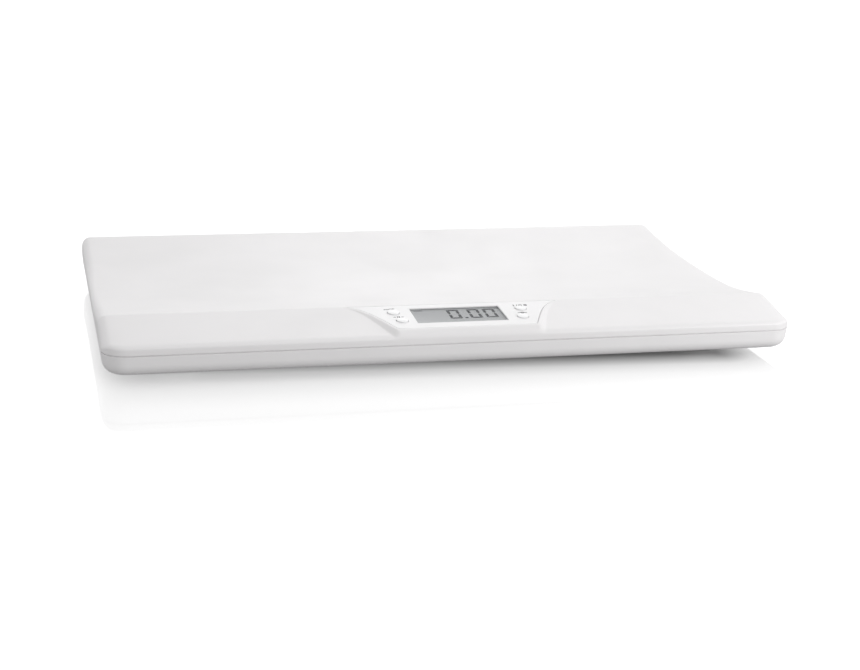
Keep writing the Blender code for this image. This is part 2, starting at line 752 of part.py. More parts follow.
def make_base():
    base = add_object("base_shell", base_mesh(), WHITE)
    posts = bmesh.new()
    for x, y in CASE_SCREW_PLACES:
        add_drum(posts, (x, y), POST_DIAMETER / 2, UNDERSIDE + EMBED, POST_TOP, sides=SMALL_SIDES)
    join(base, add_object("screw_posts", finish_mesh("screw_posts", posts), cutter=True))
    pocket = bmesh.new()
    ledge = DOOR_TAB_REACH + 2 * POCKET_WALL
    low = (-POCKET_X - POCKET_WALL, BATTERY_Y - POCKET_Y - POCKET_WALL, UNDERSIDE + EMBED)
    high = (POCKET_X + POCKET_WALL, BATTERY_Y + POCKET_Y + POCKET_WALL, POCKET_ROOF + POCKET_WALL)
    add_box(pocket, low, high)
    join(base, add_object("pocket_body", finish_mesh("pocket_body", pocket, smooth=False), cutter=True))
    tray_low = (-DOOR_X - DOOR_TRAVEL - 2 * DOOR_GAP - POCKET_WALL, BATTERY_Y - DOOR_Y - ledge, UNDERSIDE + EMBED)
    tray_high = (DOOR_X + ledge, BATTERY_Y + DOOR_Y + ledge, DOOR_TOP + GAP + POCKET_WALL)
    join(base, add_object("door_bed", box_mesh("door_bed", tray_low, tray_high), cutter=True))
    locators = bmesh.new()
    for _, x, y in foot_places():
        for sx in (-1, 1):
            for sy in (-1, 1):
                corner = (x + sx * (CELL_SIDE / 2 + GAP), y + sy * (CELL_SIDE / 2 + GAP))
                inner = (corner[0] - sx * SEAT_SIDE, corner[1] - sy * SEAT_SIDE)
                lows = (min(corner[0], inner[0]), min(corner[1], inner[1]), UNDERSIDE + EMBED)
                highs = (max(corner[0], inner[0]), max(corner[1], inner[1]), FLOOR_TOP + CELL_SEAT)
                add_box(locators, lows, highs)
    join(base, add_object("cell_seats", finish_mesh("cell_seats", locators, smooth=False), cutter=True))
    walls = bmesh.new()
    for _, x, y in foot_places():
        for sx in (-1, 1):
            near = x + sx * (CELL_SIDE / 2 + GAP)
            far = near + sx * LOCATOR_THICK
            lows = (min(near, far), y - LOCATOR_LONG / 2, UNDERSIDE + EMBED)
            highs = (max(near, far), y + LOCATOR_LONG / 2, CELL_LOW + LOCATOR_TALL)
            add_box(walls, lows, highs)
    join(base, add_object("cell_locators", finish_mesh("cell_locators", walls, smooth=False), cutter=True))
    ribs = bmesh.new()
    rib_x = END - FOOT_END - CELL_SIDE
    for side in (-1, 1):
        centre = side * rib_x
        add_box(
            ribs,
            (centre - RIB_THICK / 2, FRONT + FOOT_SIDE + CELL_SIDE, UNDERSIDE + EMBED),
            (centre + RIB_THICK / 2, BACK - FOOT_SIDE - CELL_SIDE, FLOOR_TOP + FLOOR_RIB_TALL),
        )
    join(base, add_object("floor_ribs", finish_mesh("floor_ribs", ribs, smooth=False), cutter=True))
    wells = bmesh.new()
    for _, x, y in foot_places():
        add_drum(wells, (x, y), FOOT_DIAMETER / 2 + FOOT_CLEARANCE, UNDERSIDE - OVERRUN, FLOOR_TOP + OVERRUN)
    cut(base, add_object("foot_wells", finish_mesh("foot_wells", wells), cutter=True))
    counterbores = bmesh.new()
    shafts = bmesh.new()
    for x, y in CASE_SCREW_PLACES:
        head = SCREW_HEAD / 2 + GAP
        add_drum(counterbores, (x, y), head, UNDERSIDE - OVERRUN, POST_TOP - HEAD_SEAT, sides=SMALL_SIDES)
        add_drum(shafts, (x, y), SCREW_SHAFT / 2 + GAP, UNDERSIDE, POST_TOP + OVERRUN, sides=SMALL_SIDES)
    cut(base, add_object("screw_counterbores", finish_mesh("screw_counterbores", counterbores), cutter=True))
    cut(base, add_object("screw_holes", finish_mesh("screw_holes", shafts), cutter=True))
    pocket_cut = box_mesh(
        "pocket_room",
        (-POCKET_X, BATTERY_Y - POCKET_Y, UNDERSIDE - OVERRUN),
        (POCKET_X, BATTERY_Y + POCKET_Y, POCKET_ROOF),
    )
    cut(base, add_object("pocket_room", pocket_cut, cutter=True))
    door_cut = box_mesh(
        "door_room",
        (-DOOR_X - DOOR_TRAVEL - 2 * DOOR_GAP, BATTERY_Y - DOOR_Y - DOOR_GAP, UNDERSIDE - OVERRUN),
        (DOOR_X + DOOR_GAP, BATTERY_Y + DOOR_Y + DOOR_GAP, DOOR_TOP + GAP),
    )
    cut(base, add_object("door_room", door_cut, cutter=True))
    slots = bmesh.new()
    for side in (-1, 1):
        inner = BATTERY_Y + side * (DOOR_Y - OVERRUN)
        outer = BATTERY_Y + side * (DOOR_Y + DOOR_TAB_REACH + GAP)
        for start in TAB_STARTS:
            add_box(
                slots,
                (start - DOOR_TRAVEL - 2 * GAP, min(inner, outer), DOOR_TOP - DOOR_TAB_THICK - GAP),
                (start + DOOR_TAB + GAP, max(inner, outer), DOOR_TOP + GAP),
            )
    cut(base, add_object("tab_slots", finish_mesh("tab_slots", slots, smooth=False), cutter=True))
    notches = bmesh.new()
    for side in (-1, 1):
        inner = BATTERY_Y + side * (DOOR_Y - OVERRUN)
        outer = BATTERY_Y + side * (DOOR_Y + DOOR_TAB_REACH + GAP / 2)
        for start in TAB_STARTS:
            add_box(
                notches,
                (start - DOOR_TRAVEL - GAP, min(inner, outer), UNDERSIDE - OVERRUN),
                (start - DOOR_TRAVEL + DOOR_TAB + GAP, max(inner, outer), DOOR_TOP - DOOR_TAB_THICK / 2),
            )
    cut(base, add_object("tab_notches", finish_mesh("tab_notches", notches, smooth=False), cutter=True))
    return base


CELL_LOW = FLOOR_TOP + CELL_SEAT + GAP
CELL_HIGH = CELL_LOW + CELL_PLATE


def make_battery_door():
    """Flat door with side tabs; it slides towards -X until the tabs leave their slots."""
    door = add_object(
        "battery_door",
        box_mesh(
            "battery_door",
            (-DOOR_X, BATTERY_Y - DOOR_Y, UNDERSIDE),
            (DOOR_X, BATTERY_Y + DOOR_Y, DOOR_TOP),
        ),
        WHITE,
    )
    tabs = bmesh.new()
    for side in (-1, 1):
        inner = BATTERY_Y + side * (DOOR_Y - OVERRUN)
        outer = BATTERY_Y + side * (DOOR_Y + DOOR_TAB_REACH)
        for start in TAB_STARTS:
            add_box(
                tabs,
                (start, min(inner, outer), DOOR_TOP - DOOR_TAB_THICK),
                (start + DOOR_TAB, max(inner, outer), DOOR_TOP),
            )
    join(door, add_object("door_tabs", finish_mesh("door_tabs", tabs, smooth=False), cutter=True))
    grip = bmesh.new()
    for row in range(GRIP_COUNT):
        x = -DOOR_X + GRIP_START + row * GRIP_PITCH
        add_box(
            grip,
            (x, BATTERY_Y - DOOR_GRIP, UNDERSIDE - OVERRUN),
            (x + GRIP_PITCH / 2, BATTERY_Y + DOOR_GRIP, UNDERSIDE + GRIP_DEEP),
        )
    cut(door, add_object("door_grip", finish_mesh("door_grip", grip, smooth=False), cutter=True))
    return door


# Feet


def make_foot(name, x, y):
    """Load-cell plate on its seats, a foot cup hung from it through the floor, and a rubber pad."""
    half = CELL_SIDE / 2
    cell = add_object(
        "load_cell_" + name, box_mesh("load_cell", (-half, -half, CELL_LOW), (half, half, CELL_HIGH)), STEEL
    )
    cell.location = (x, y, 0)
    reach = half - CELL_SLOT
    slot = bmesh.new()
    tongue = CELL_TONGUE / 2
    for side in (-1, 1):
        lows = (min(side * tongue, side * (tongue + CELL_SLOT)), -reach, CELL_LOW - OVERRUN)
        highs = (max(side * tongue, side * (tongue + CELL_SLOT)), reach - CELL_SLOT, CELL_HIGH + OVERRUN)
        add_box(slot, lows, highs)
    slots = add_object("cell_slots_" + name, finish_mesh("cell_slots", slot, smooth=False), cutter=True)
    slots.location = (x, y, 0)
    cut(cell, slots)
    end = box_mesh(
        "cell_end",
        (-tongue - CELL_SLOT / 2, -reach, CELL_LOW - OVERRUN),
        (tongue + CELL_SLOT / 2, -reach + CELL_SLOT, CELL_HIGH + OVERRUN),
    )
    end_cut = add_object("cell_end_" + name, end, cutter=True)
    end_cut.location = (x, y, 0)
    cut(cell, end_cut)
    radius = FOOT_DIAMETER / 2
    pad = PAD_DIAMETER / 2
    shoulder = UNDERSIDE + WALL / 2
    profile = [
        (0, CELL_LOW - GAP),
        (CUP_BOSS / 2, CELL_LOW - GAP),
        (CUP_BOSS / 2, shoulder + FOOT_EDGE),
        (radius - FOOT_EDGE, shoulder + FOOT_EDGE),
        (radius, shoulder),
        (radius, PAD_TALL - PAD_RECESS + FOOT_EDGE),
        (radius - FOOT_EDGE, PAD_TALL - PAD_RECESS),
        (pad + GAP, PAD_TALL - PAD_RECESS),
        (pad + GAP, PAD_TALL + GAP),
        (0, PAD_TALL + GAP),
    ]
    cup = add_turned("foot_cup_" + name, profile, WHITE)
    cup.location = (x, y, 0)
    rubber = [
        (0, PAD_TALL),
        (pad, PAD_TALL),
        (pad, PAD_EDGE),
        (pad - PAD_EDGE, 0),
        (0, 0),
    ]
    rubber_pad = add_turned("foot_pad_" + name, rubber, RUBBER_GREY)
    rubber_pad.location = (x, y, 0)


# Console assembly


def make_console(frame):
    panel = plate_mesh("console_panel", panel_outline(0.0), -PANEL_THICK, 0.0, smooth=False)
    panel = add_object("console_panel", panel, PANEL_WHITE, parent=frame)
    holes = bmesh.new()
    add_box(holes, *window_box(0.0, -PANEL_THICK - OVERRUN, OVERRUN))
    for _, (x, down) in button_places():
        radius = BUTTON_DIAMETER / 2 + BUTTON_CLEARANCE
        add_drum(holes, (x, -down), radius, -PANEL_THICK - OVERRUN, OVERRUN, BUTTON_SIDES)
    cut(panel, add_object("panel_holes", finish_mesh("panel_holes", holes), cutter=True, parent=frame))
    lens = box_mesh("display_window", *window_box(-GAP, PANEL_FLOOR, -WINDOW_SUNK))
    add_object("display_window", lens, CLEAR, parent=frame)
    cell = box_mesh("lcd_cell", *window_box(CELL_MARGIN, CELL_UNDER, CELL_TOP))
    add_object("lcd_cell", cell, LCD_GREY, parent=frame)
    holder = box_mesh("lcd_frame", *window_box(CELL_MARGIN + FRAME_WALL, BOARD_FACE + GAP, SHELL_UNDER - GAP))
    holder = add_object("lcd_frame", holder, FRAME_WHITE, parent=frame)
    room = box_mesh("lcd_room", *window_box(CELL_MARGIN + GAP, CELL_UNDER - GAP, OVERRUN))
    cut(holder, add_object("lcd_room", room, cutter=True, parent=frame))
    well = box_mesh("lcd_well", *window_box(-FRAME_LEDGE, BOARD_FACE - OVERRUN, OVERRUN))
    cut(holder, add_object("lcd_well", well, cutter=True, parent=frame))
    low, high = window_box(-FRAME_LEDGE - GAP, BOARD_FACE + GAP, CELL_UNDER - GAP)
    strip_high = (high[0], low[1] + ELASTOMER_WIDE, high[2])
    strip = box_mesh("elastomer_connector", low, strip_high)
    add_object("elastomer_connector", strip, RUBBER_PINK, parent=frame)
    make_board(frame)
    for name, (x, down) in button_places():
        make_button(name, x, -down, frame)


def make_board(frame):
    half = BOARD_WIDE / 2
    low = (-half, -BOARD_TOP - BOARD_TALL, BOARD_UNDER)
    high = (half, -BOARD_TOP, BOARD_FACE)
    board = add_object("main_board", box_mesh("main_board", low, high), BOARD_GREEN, parent=frame)
    holes = bmesh.new()
    for side in (-1, 1):
        centre = (side * BOARD_SCREW[0], -BOARD_SCREW[1])
        low_end, high_end = BOARD_UNDER - OVERRUN, BOARD_FACE + OVERRUN
        add_drum(holes, centre, BOARD_SHAFT / 2 + GAP, low_end, high_end, sides=SMALL_SIDES)
        screw = [
            (0, BOARD_UNDER + BOARD_SCREW_LONG),
            (BOARD_SHAFT / 2, BOARD_UNDER + BOARD_SCREW_LONG),
            (BOARD_SHAFT / 2, BOARD_UNDER - GAP),
            (BOARD_HEAD / 2, BOARD_UNDER - GAP),
            (BOARD_HEAD / 2, BOARD_UNDER - GAP - BOARD_HEAD_TALL),
            (0, BOARD_UNDER - GAP - BOARD_HEAD_TALL),
        ]
        word = "left" if side < 0 else "right"
        fixing = add_turned("board_screw_" + word, screw, STEEL, SMALL_SIDES, frame)
        fixing.location = (*centre, 0)
    cut(board, add_object("board_holes", finish_mesh("board_holes", holes), cutter=True, parent=frame))
    middle = -BOARD_TOP - BOARD_TALL / 2
    chip_low = (-CHIP_SIDE / 2, middle - CHIP_SIDE / 2, BOARD_UNDER - GAP - CHIP_THICK)
    chip_high = (CHIP_SIDE / 2, middle + CHIP_SIDE / 2, BOARD_UNDER - GAP)
    add_object("control_chip", box_mesh("control_chip", chip_low, chip_high), CHIP_BLACK, parent=frame)
    buzzer = drum_mesh(
        "buzzer",
        (BUZZER_X, middle),
        BUZZER_DIAMETER / 2,
        BOARD_UNDER - GAP - BUZZER_TALL,
        BOARD_UNDER - GAP,
        sides=BUTTON_SIDES,
    )
    add_object("buzzer", buzzer, CHIP_BLACK, parent=frame)


def make_button(name, x, y, frame):
    """Cap with a retaining flange, a switch on the board, and the switch's plunger."""
    radius = BUTTON_DIAMETER / 2
    cap_profile = [
        (0, BUTTON_PROUD),
        (radius / 2, BUTTON_PROUD - BUTTON_DOME / 8),
        (radius - BUTTON_DOME, BUTTON_PROUD - BUTTON_DOME / 2),
        (radius, BUTTON_PROUD - BUTTON_DOME),
        (radius, FLANGE_TOP),
        (radius + BUTTON_FLANGE, FLANGE_TOP),
        (radius + BUTTON_FLANGE, FLANGE_TOP - FLANGE_THICK),
        (STEM_DIAMETER / 2, FLANGE_TOP - FLANGE_THICK),
        (STEM_DIAMETER / 2, STEM_TIP),
        (0, STEM_TIP),
    ]
    cap = add_turned(name + "_button", cap_profile, CAP_WHITE, BUTTON_SIDES, frame)
    cap.location = (x, y, 0)
    plunger_radius = PLUNGER_DIAMETER / 2
    plunger_low = PLUNGER_TOP - PLUNGER_LONG
    plunger = drum_mesh("switch_plunger", (0, 0), plunger_radius, plunger_low, PLUNGER_TOP, SMALL_SIDES)
    plunger = add_object("switch_plunger_" + name, plunger, CHIP_BLACK, parent=frame)
    plunger.location = (x, y, 0)
    half = SWITCH_SIDE / 2
    body = box_mesh("tact_switch", (-half, -half, BOARD_FACE + GAP), (half, half, SWITCH_TOP))
    switch = add_object("tact_switch_" + name, body, STEEL, parent=frame)
    switch.location = (x, y, 0)
    bore = drum_mesh(
        "switch_bore", (0, 0), plunger_radius + GAP, BOARD_FACE + GAP + SWITCH_FLOOR, SWITCH_TOP + OVERRUN,
        SMALL_SIDES,
    )
    bore = add_object("switch_bore_" + name, bore, cutter=True, parent=frame)
    bore.location = (x, y, 0)
    cut(switch, bore)


# Fasteners, batteries and leads


def make_case_screws():
    profile = [
        (0, SCREW_TIP),
        (SCREW_SHAFT / 2, SCREW_TIP - SCREW_SHAFT / 2),
        (SCREW_SHAFT / 2, HEAD_TOP),
        (SCREW_HEAD / 2, HEAD_TOP),
        (SCREW_HEAD / 2, HEAD_TOP - SCREW_HEAD_TALL / 2),
        (SCREW_HEAD / 2 - SCREW_HEAD_TALL / 3, HEAD_TOP - SCREW_HEAD_TALL),
        (0, HEAD_TOP - SCREW_HEAD_TALL),
    ]
    for number, (x, y) in enumerate(CASE_SCREW_PLACES, 1):
        screw = add_turned(f"case_screw_{number}", profile, STEEL, SMALL_SIDES)
        screw.location = (x, y, 0)


def make_batteries():
    axis_z = AAA_LOW + AAA_DIAMETER / 2
    first = BATTERY_Y - AAA_PITCH * (AAA_COUNT - 1) / 2
    plate_in = POCKET_X - GAP - PLATE_THICK
    body_end = plate_in - GAP - AAA_NIPPLE_TALL
    for number in range(AAA_COUNT):
        side = 1 if number % 2 == 0 else -1
        y = first + number * AAA_PITCH
        profile = [
            (0, body_end + AAA_NIPPLE_TALL),
            (AAA_NIPPLE / 2, body_end + AAA_NIPPLE_TALL),
            (AAA_NIPPLE / 2, body_end),
            (AAA_DIAMETER / 2, body_end),
            (AAA_DIAMETER / 2, body_end - AAA_LENGTH),
            (0, body_end - AAA_LENGTH),
        ]
        cell = add_turned(f"battery_{number + 1}", profile, BRASS, BUTTON_SIDES)
        cell.rotation_euler = (0, side * math.radians(90), 0)
        cell.location = (0, y, axis_z)
        make_spring(number + 1, side, y, axis_z, plate_in, body_end)
    last = first + (AAA_COUNT - 1) * AAA_PITCH
    make_contact("plus", 1, first, first, plate_in, axis_z)
    make_contact("bridge_left", -1, first, first + AAA_PITCH, plate_in, axis_z)
    make_contact("bridge_right", 1, first + AAA_PITCH, last, plate_in, axis_z)
    make_contact("minus", -1, last, last, plate_in, axis_z)


def make_contact(word, side, start_y, stop_y, plate_in, axis_z):
    """Sheet contact against an end wall of the pocket, one or two cells wide."""
    half = AAA_DIAMETER / 2 - GAP
    faces = sorted((side * plate_in, side * (plate_in + PLATE_THICK)))
    low = (faces[0], start_y - half, axis_z - AAA_DIAMETER / 2)
    high = (faces[1], stop_y + half, axis_z + AAA_DIAMETER / 2)
    add_object("battery_contact_" + word, box_mesh("contact", low, high), STEEL)


def make_spring(number, side, y, axis_z, plate_in, body_end):
    """Tapered coil between the contact plate and the cell's flat end."""
    start = plate_in - GAP - SPRING_WIRE / 2
    stop = AAA_LENGTH - body_end + GAP + SPRING_WIRE / 2
    turns = SPRING_TURNS
    steps = 8 * turns
    points = []
    for step in range(steps + 1):
        share = step / steps
        radius = SPRING_WIDE_RADIUS + (SPRING_NARROW_RADIUS - SPRING_WIDE_RADIUS) * share
        angle = math.tau * turns * share
        x = start + (stop - start) * share
        points.append((-side * x, y + radius * math.cos(angle), axis_z + radius * math.sin(angle)))
    add_tube(f"battery_spring_{number}", points, SPRING_WIRE / 2, STEEL, sides_setting=0)


def add_tube(name, points, radius, material, sides_setting=1):
    curve = bpy.data.curves.new(name, "CURVE")
    curve.dimensions = "3D"
    curve.bevel_depth = radius
    curve.bevel_resolution = sides_setting
    curve.use_fill_caps = True
    spline = curve.splines.new("POLY")
    spline.points.add(len(points) - 1)
    for slot, point in zip(spline.points, points):
        slot.co = (*point, 1.0)
    curve.materials.append(material)
    tube = bpy.data.objects.new(name, curve)
    PARTS.objects.link(tube)
    return tube


def smooth_route(stops, step, floor):
    """Points a step apart on a smooth curve through the stops, never under the floor's height."""
    points = []
    padded = [2 * stops[0] - stops[1]] + stops + [2 * stops[-1] - stops[-2]]
    for index in range(1, len(padded) - 2):
        a, b, c, d = padded[index - 1:index + 3]
        count = max(2, round((c - b).length / step))
        for part in range(count):
            t = part / count
            points.append(0.5 * (
                2 * b + (c - a) * t + (2 * a - 5 * b + 4 * c - d) * t ** 2 + (3 * b - a - 3 * c + d) * t ** 3
            ))
    points.append(stops[-1])
    return [(point.x, point.y, max(point.z, floor)) for point in points]


def make_leads():
    """Leads from the load cells along the floor to the underside of the main board."""
    radius = LEAD_DIAMETER / 2
    low = FLOOR_TOP + GAP + radius
    exit_z = CELL_LOW + CELL_PLATE / 2
    board_turn = Matrix.Rotation(PANEL_ANGLE, 3, "X")
    for name, x, y in foot_places():
        side = -1 if x < 0 else 1
        start_x = x - side * (CELL_SIDE / 2 + GAP)
        landing = LEAD_FRONT_X if y < 0 else LEAD_BACK_X
        local = Vector((side * landing, -BOARD_TOP - BOARD_TALL + LEAD_INSET, BOARD_UNDER - GAP - radius))
        top = board_turn @ local + Vector((CONSOLE_X, CREST_Y, CREST_HEIGHT))
        start_y = y + (LEAD_OFFSET if y < 0 else -LEAD_OFFSET)
        stops = [
            Vector((start_x, start_y, exit_z)),
            Vector((start_x - side * LEAD_RUN, start_y, exit_z)),
            Vector((start_x - side * 3 * LEAD_RUN, start_y, low)),
        ]
        if y > 0:
            stops.append(Vector((side * (RIB_X - LEAD_RUN), y / 2, low)))
            stops.append(Vector((side * (DOOR_X + DOOR_TRAVEL + 3 * LEAD_RUN), BATTERY_Y, low)))
        stops += [
            Vector((top.x + side * 4 * LEAD_RUN, top.y + 4 * LEAD_RUN, low)),
            Vector((top.x + side * LEAD_RUN, top.y + LEAD_RUN, low)),
            Vector((top.x, top.y, (low + top.z) / 2)),
            top,
        ]
        add_tube("load_cell_lead_" + name, smooth_route(stops, LEAD_STEP, low), radius, LEAD_GREY)


def main():
    frame = console_frame()
    make_tray(frame)
    make_base()
    make_console(frame)
    make_battery_door()
    for name, x, y in foot_places():
        make_foot(name, x, y)
    make_case_screws()
    make_batteries()
    make_leads()
    bpy.context.view_layer.update()


main()
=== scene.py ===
"""Digital baby weighing scale: the looks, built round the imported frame. Metres, +Z up, front towards -Y."""
import math

import bmesh
import bpy
from bpy.props import FloatProperty, FloatVectorProperty, PointerProperty
from mathutils import Matrix, Vector


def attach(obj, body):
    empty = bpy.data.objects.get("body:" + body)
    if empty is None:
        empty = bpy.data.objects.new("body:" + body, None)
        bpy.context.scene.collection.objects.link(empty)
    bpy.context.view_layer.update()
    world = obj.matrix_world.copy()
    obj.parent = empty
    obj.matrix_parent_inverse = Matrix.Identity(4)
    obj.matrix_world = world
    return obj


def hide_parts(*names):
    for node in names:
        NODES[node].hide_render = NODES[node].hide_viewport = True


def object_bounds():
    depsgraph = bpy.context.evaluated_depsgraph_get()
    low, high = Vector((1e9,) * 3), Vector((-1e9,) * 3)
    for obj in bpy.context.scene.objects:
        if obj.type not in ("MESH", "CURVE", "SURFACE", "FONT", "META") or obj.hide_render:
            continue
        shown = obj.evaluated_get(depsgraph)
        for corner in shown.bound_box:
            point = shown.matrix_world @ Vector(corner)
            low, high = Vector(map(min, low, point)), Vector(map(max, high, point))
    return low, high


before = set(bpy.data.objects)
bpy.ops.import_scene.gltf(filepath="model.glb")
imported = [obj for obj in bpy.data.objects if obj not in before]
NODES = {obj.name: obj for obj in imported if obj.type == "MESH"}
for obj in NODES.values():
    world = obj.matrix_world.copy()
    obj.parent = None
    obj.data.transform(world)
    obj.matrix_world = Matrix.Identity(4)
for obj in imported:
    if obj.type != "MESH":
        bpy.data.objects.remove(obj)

bl_info = {
    "name": "Baby Weighing Scale",
    "version": (1, 0, 0),
    "blender": (4, 5, 0),
    "location": "View3D > Sidebar > Baby Scale",
    "description": "Builds a digital baby weighing scale round its packed frame",
    "category": "Add Mesh",
}

CAD_LOW, CAD_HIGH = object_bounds()

# Shares of a size, which have no unit
FRONT_POWER = 2.2
BACK_POWER = 1.7
END_FALL_SHARE = 0.9
END_ROUND_RATIO = 1.45
FLANK_SPREAD_SHARE = 0.30
LEAST_RADIUS = 0.0012
FASCIA_CURVE_SHARES = (0.56, 0.60, 0.0)
CONSOLE_CURVE_SHARES = (0.62, 0.50, 0.05)

# Clearances
GAP = 0.0003
OVERRUN = 0.002
EMBED = 0.0009


def length(name, default, description):
    return FloatProperty(
        name=name, default=default, description=description, min=0.0,
        precision=5, unit="LENGTH", subtype="DISTANCE",
    )


def share(name, default, description):
    return FloatProperty(
        name=name, default=default, description=description, min=0.0, max=1.0, subtype="FACTOR"
    )


def number(name, default, description):
    return FloatProperty(name=name, default=default, description=description, min=0.0)


def colour(name, default, description):
    return FloatVectorProperty(
        name=name, default=default, description=description, size=3, min=0.0, max=1.0, subtype="COLOR"
    )


class BabyScaleSizes(bpy.types.PropertyGroup):
    """Sizes of the two shells and of what stands on and under them."""

    length: length("Length", CAD_HIGH.x - CAD_LOW.x, "Length of the tray from end to end")
    width: length("Width", CAD_HIGH.y - CAD_LOW.y, "Depth of the tray from front to back")
    crest_height: length("Crest height", CAD_HIGH.z, "Height of the ridge along the front of the cradle")
    low_height: length("Cradle height", 0.0300, "Height of the cradle's lowest line")
    rim_height: length("Rim height", 0.0407, "Height of the rim at the back")
    plan_radius: length("Front corners", 0.0185, "Radius of the two front corners seen from above")
    back_radius: length("Back corners", 0.0075, "Radius of the two back corners seen from above")
    wall: length("Wall", 0.0022, "Thickness of both shells")
    underside: length("Underside", 0.0094, "Height of the base's flat floor")
    parting: length("Parting height", 0.0259, "Height of the groove between the shells")
    groove: length("Groove height", 0.0008, "Height of the gap between the shells")
    groove_depth: length("Groove depth", 0.0011, "How far the gap between the shells goes in")
    edge_round: length("Edge rounding", 0.00032, "Rounding of the shells' edges along the groove")
    crest_back: length("Crest from front", 0.0575, "Distance of the ridge from the front")
    crest_round: length("Crest rounding", 0.0012, "Half-width of the ridge's rounding")
    low_back: length("Low line from front", 0.1800, "Distance of the lowest line from the front")
    rim_inset: length("Rim inset", 0.0046, "Distance of the rim's top from the back")
    rim_fall: length("Rim fall", 0.0060, "Height of the rim's rounding")
    fascia_lip: length("Fascia rounding", 0.0055, "Depth of the rounding from the front wall to the fascia")
    fascia_grade: number("Fascia slope", 0.1550, "Rise of the fascia for each unit of depth")
    front_wall: length("Front wall", 0.0040, "Height of the upright foot of the front")
    end_round: length("End rounding", 0.0076, "Width of the rounding at both ends")
    end_fall: length("End fall", 0.0070, "Height of the rounding at both ends")
    base_round: length("Base rounding", 0.0100, "Radius of the base's bottom edge")
    base_draft: length("Base draft", 0.0006, "How far the base's wall leans in towards its foot")
    foot_end: length("Foot from end", 0.0600, "Distance of a foot's centre from the end")
    foot_side: length("Foot from side", 0.0580, "Distance of a foot's centre from the front or back")
    foot_diameter: length("Foot diameter", 0.0360, "Diameter of a foot cup")
    pad_diameter: length("Pad diameter", 0.0320, "Diameter of a rubber pad")
    pad_height: length("Pad height", 0.0022, "Thickness of a rubber pad")
    battery_y: length("Battery bay place", 0.0560, "Distance of the battery bay in front of the middle")
    pocket_x: length("Bay half-length", 0.0270, "Half the inner length of the battery bay")
    pocket_y: length("Bay half-width", 0.01685, "Half the inner width of the battery bay")
    door_thick: length("Door thickness", 0.0018, "Thickness of the battery door")
    door_travel: length("Door travel", 0.0080, "How far the door slides before it lifts off")
    screw_head: length("Screw head", 0.0056, "Diameter of a case screw's head")


class BabyScaleConsole(bpy.types.PropertyGroup):
    """Sizes of the raised console, its display and its buttons."""

    aside: length("Console offset", 0.0028, "How far the console stands to the right of the middle")
    grade: number("Console slope", 0.0900, "Rise of the console for each unit of depth")
    lip: length("Console rounding", 0.0062, "Depth of the rounding at the console's front")
    flank_base: length("Half-width", 0.0810, "Half-width of the console at the ridge")
    flank_taper: share("Taper", 0.36, "How much the half-width shrinks down the slope")
    flank_flare: length("Flare", 0.0120, "How far the flanks flare out at the ridge")
    flank_reach: length("Flare reach", 0.0080, "How far down the slope the flare reaches")
    flank_least: length("Least flank", 0.0029, "Width of a flank where the console is level with the fascia")
    flank_grade: number("Flank slope", 1.16, "Steepness of the flanks")
    flank_end: length("Spread", 0.1280, "Half-width behind the ridge where the flanks fade out")
    panel_top: length("Panel top", 0.0012, "Distance of the panel's upper edge from the ridge")
    panel_bottom: length("Panel bottom", 0.0506, "Distance of the panel's lower edge from the ridge")
    panel_edge: length("Panel margin", 0.0020, "Shell left showing beside the panel")
    panel_thick: length("Panel thickness", 0.0011, "Thickness of the panel")
    panel_corner: length("Panel corner", 0.0030, "Rounding of the panel's lower corners")
    panel_rim: length("Panel rounding", 0.00045, "Rounding of the panel's edges and openings")
    window_x: length("Window offset", 0.0012, "How far the window stands to the left of the console's middle")
    window_top: length("Window place", 0.0084, "Distance of the window's upper edge from the ridge")
    window_tall: length("Window height", 0.0318, "Height of the window")
    window_wide: length("Window width", 0.0728, "Width of the window")
    window_corner: length("Window corner", 0.0006, "Corner radius of the window")
    window_sunk: length("Window depth", 0.0002, "How far the window lies under the panel's face")
    button_diameter: length("Button diameter", 0.0090, "Diameter of a button")
    button_proud: length("Button height", 0.0010, "How far a button stands over the panel")
    button_round: length("Button rounding", 0.00038, "Rounding of a button's edge")
    digit_wide: length("Digit width", 0.0096, "Width of a figure on the display")
    digit_tall: length("Digit height", 0.0188, "Height of a figure on the display")
    digit_stroke: length("Digit stroke", 0.0023, "Width of a figure's strokes")


class BabyScaleColours(bpy.types.PropertyGroup):
    """Colours of the object's finishes."""

    shell: colour("Shell", (0.845, 0.832, 0.838), "Moulded plastic of the tray and base")
    shell_shade: colour("Shell variation", (0.825, 0.813, 0.818), "Second tone of the moulded plastic")
    panel: colour("Panel", (0.865, 0.860, 0.866), "Console panel")
    cap: colour("Buttons", (0.90, 0.90, 0.905), "Button caps")
    display: colour("Display", (0.50, 0.51, 0.52), "Ground of the display")
    # Painted reflection: the lighter lower corner is light painted into the display's colour
    display_painted_reflection: colour("Display painted reflection", (0.64, 0.65, 0.66), "Lighter lower corner of the display")
    figure: colour("Figures", (0.022, 0.024, 0.028), "Figures on the display")
    print: colour("Printing", (0.075, 0.077, 0.080), "Printed signs on the panel")
    rubber: colour("Rubber", (0.115, 0.117, 0.12), "Rubber of the pads")
    board: colour("Board", (0.025, 0.16, 0.07), "Solder mask of the circuit board")
    sleeve: colour("Battery sleeve", (0.05, 0.09, 0.16), "Sleeve of the battery cells")
    lead: colour("Leads", (0.30, 0.30, 0.32), "Sleeves of the load cells' leads")


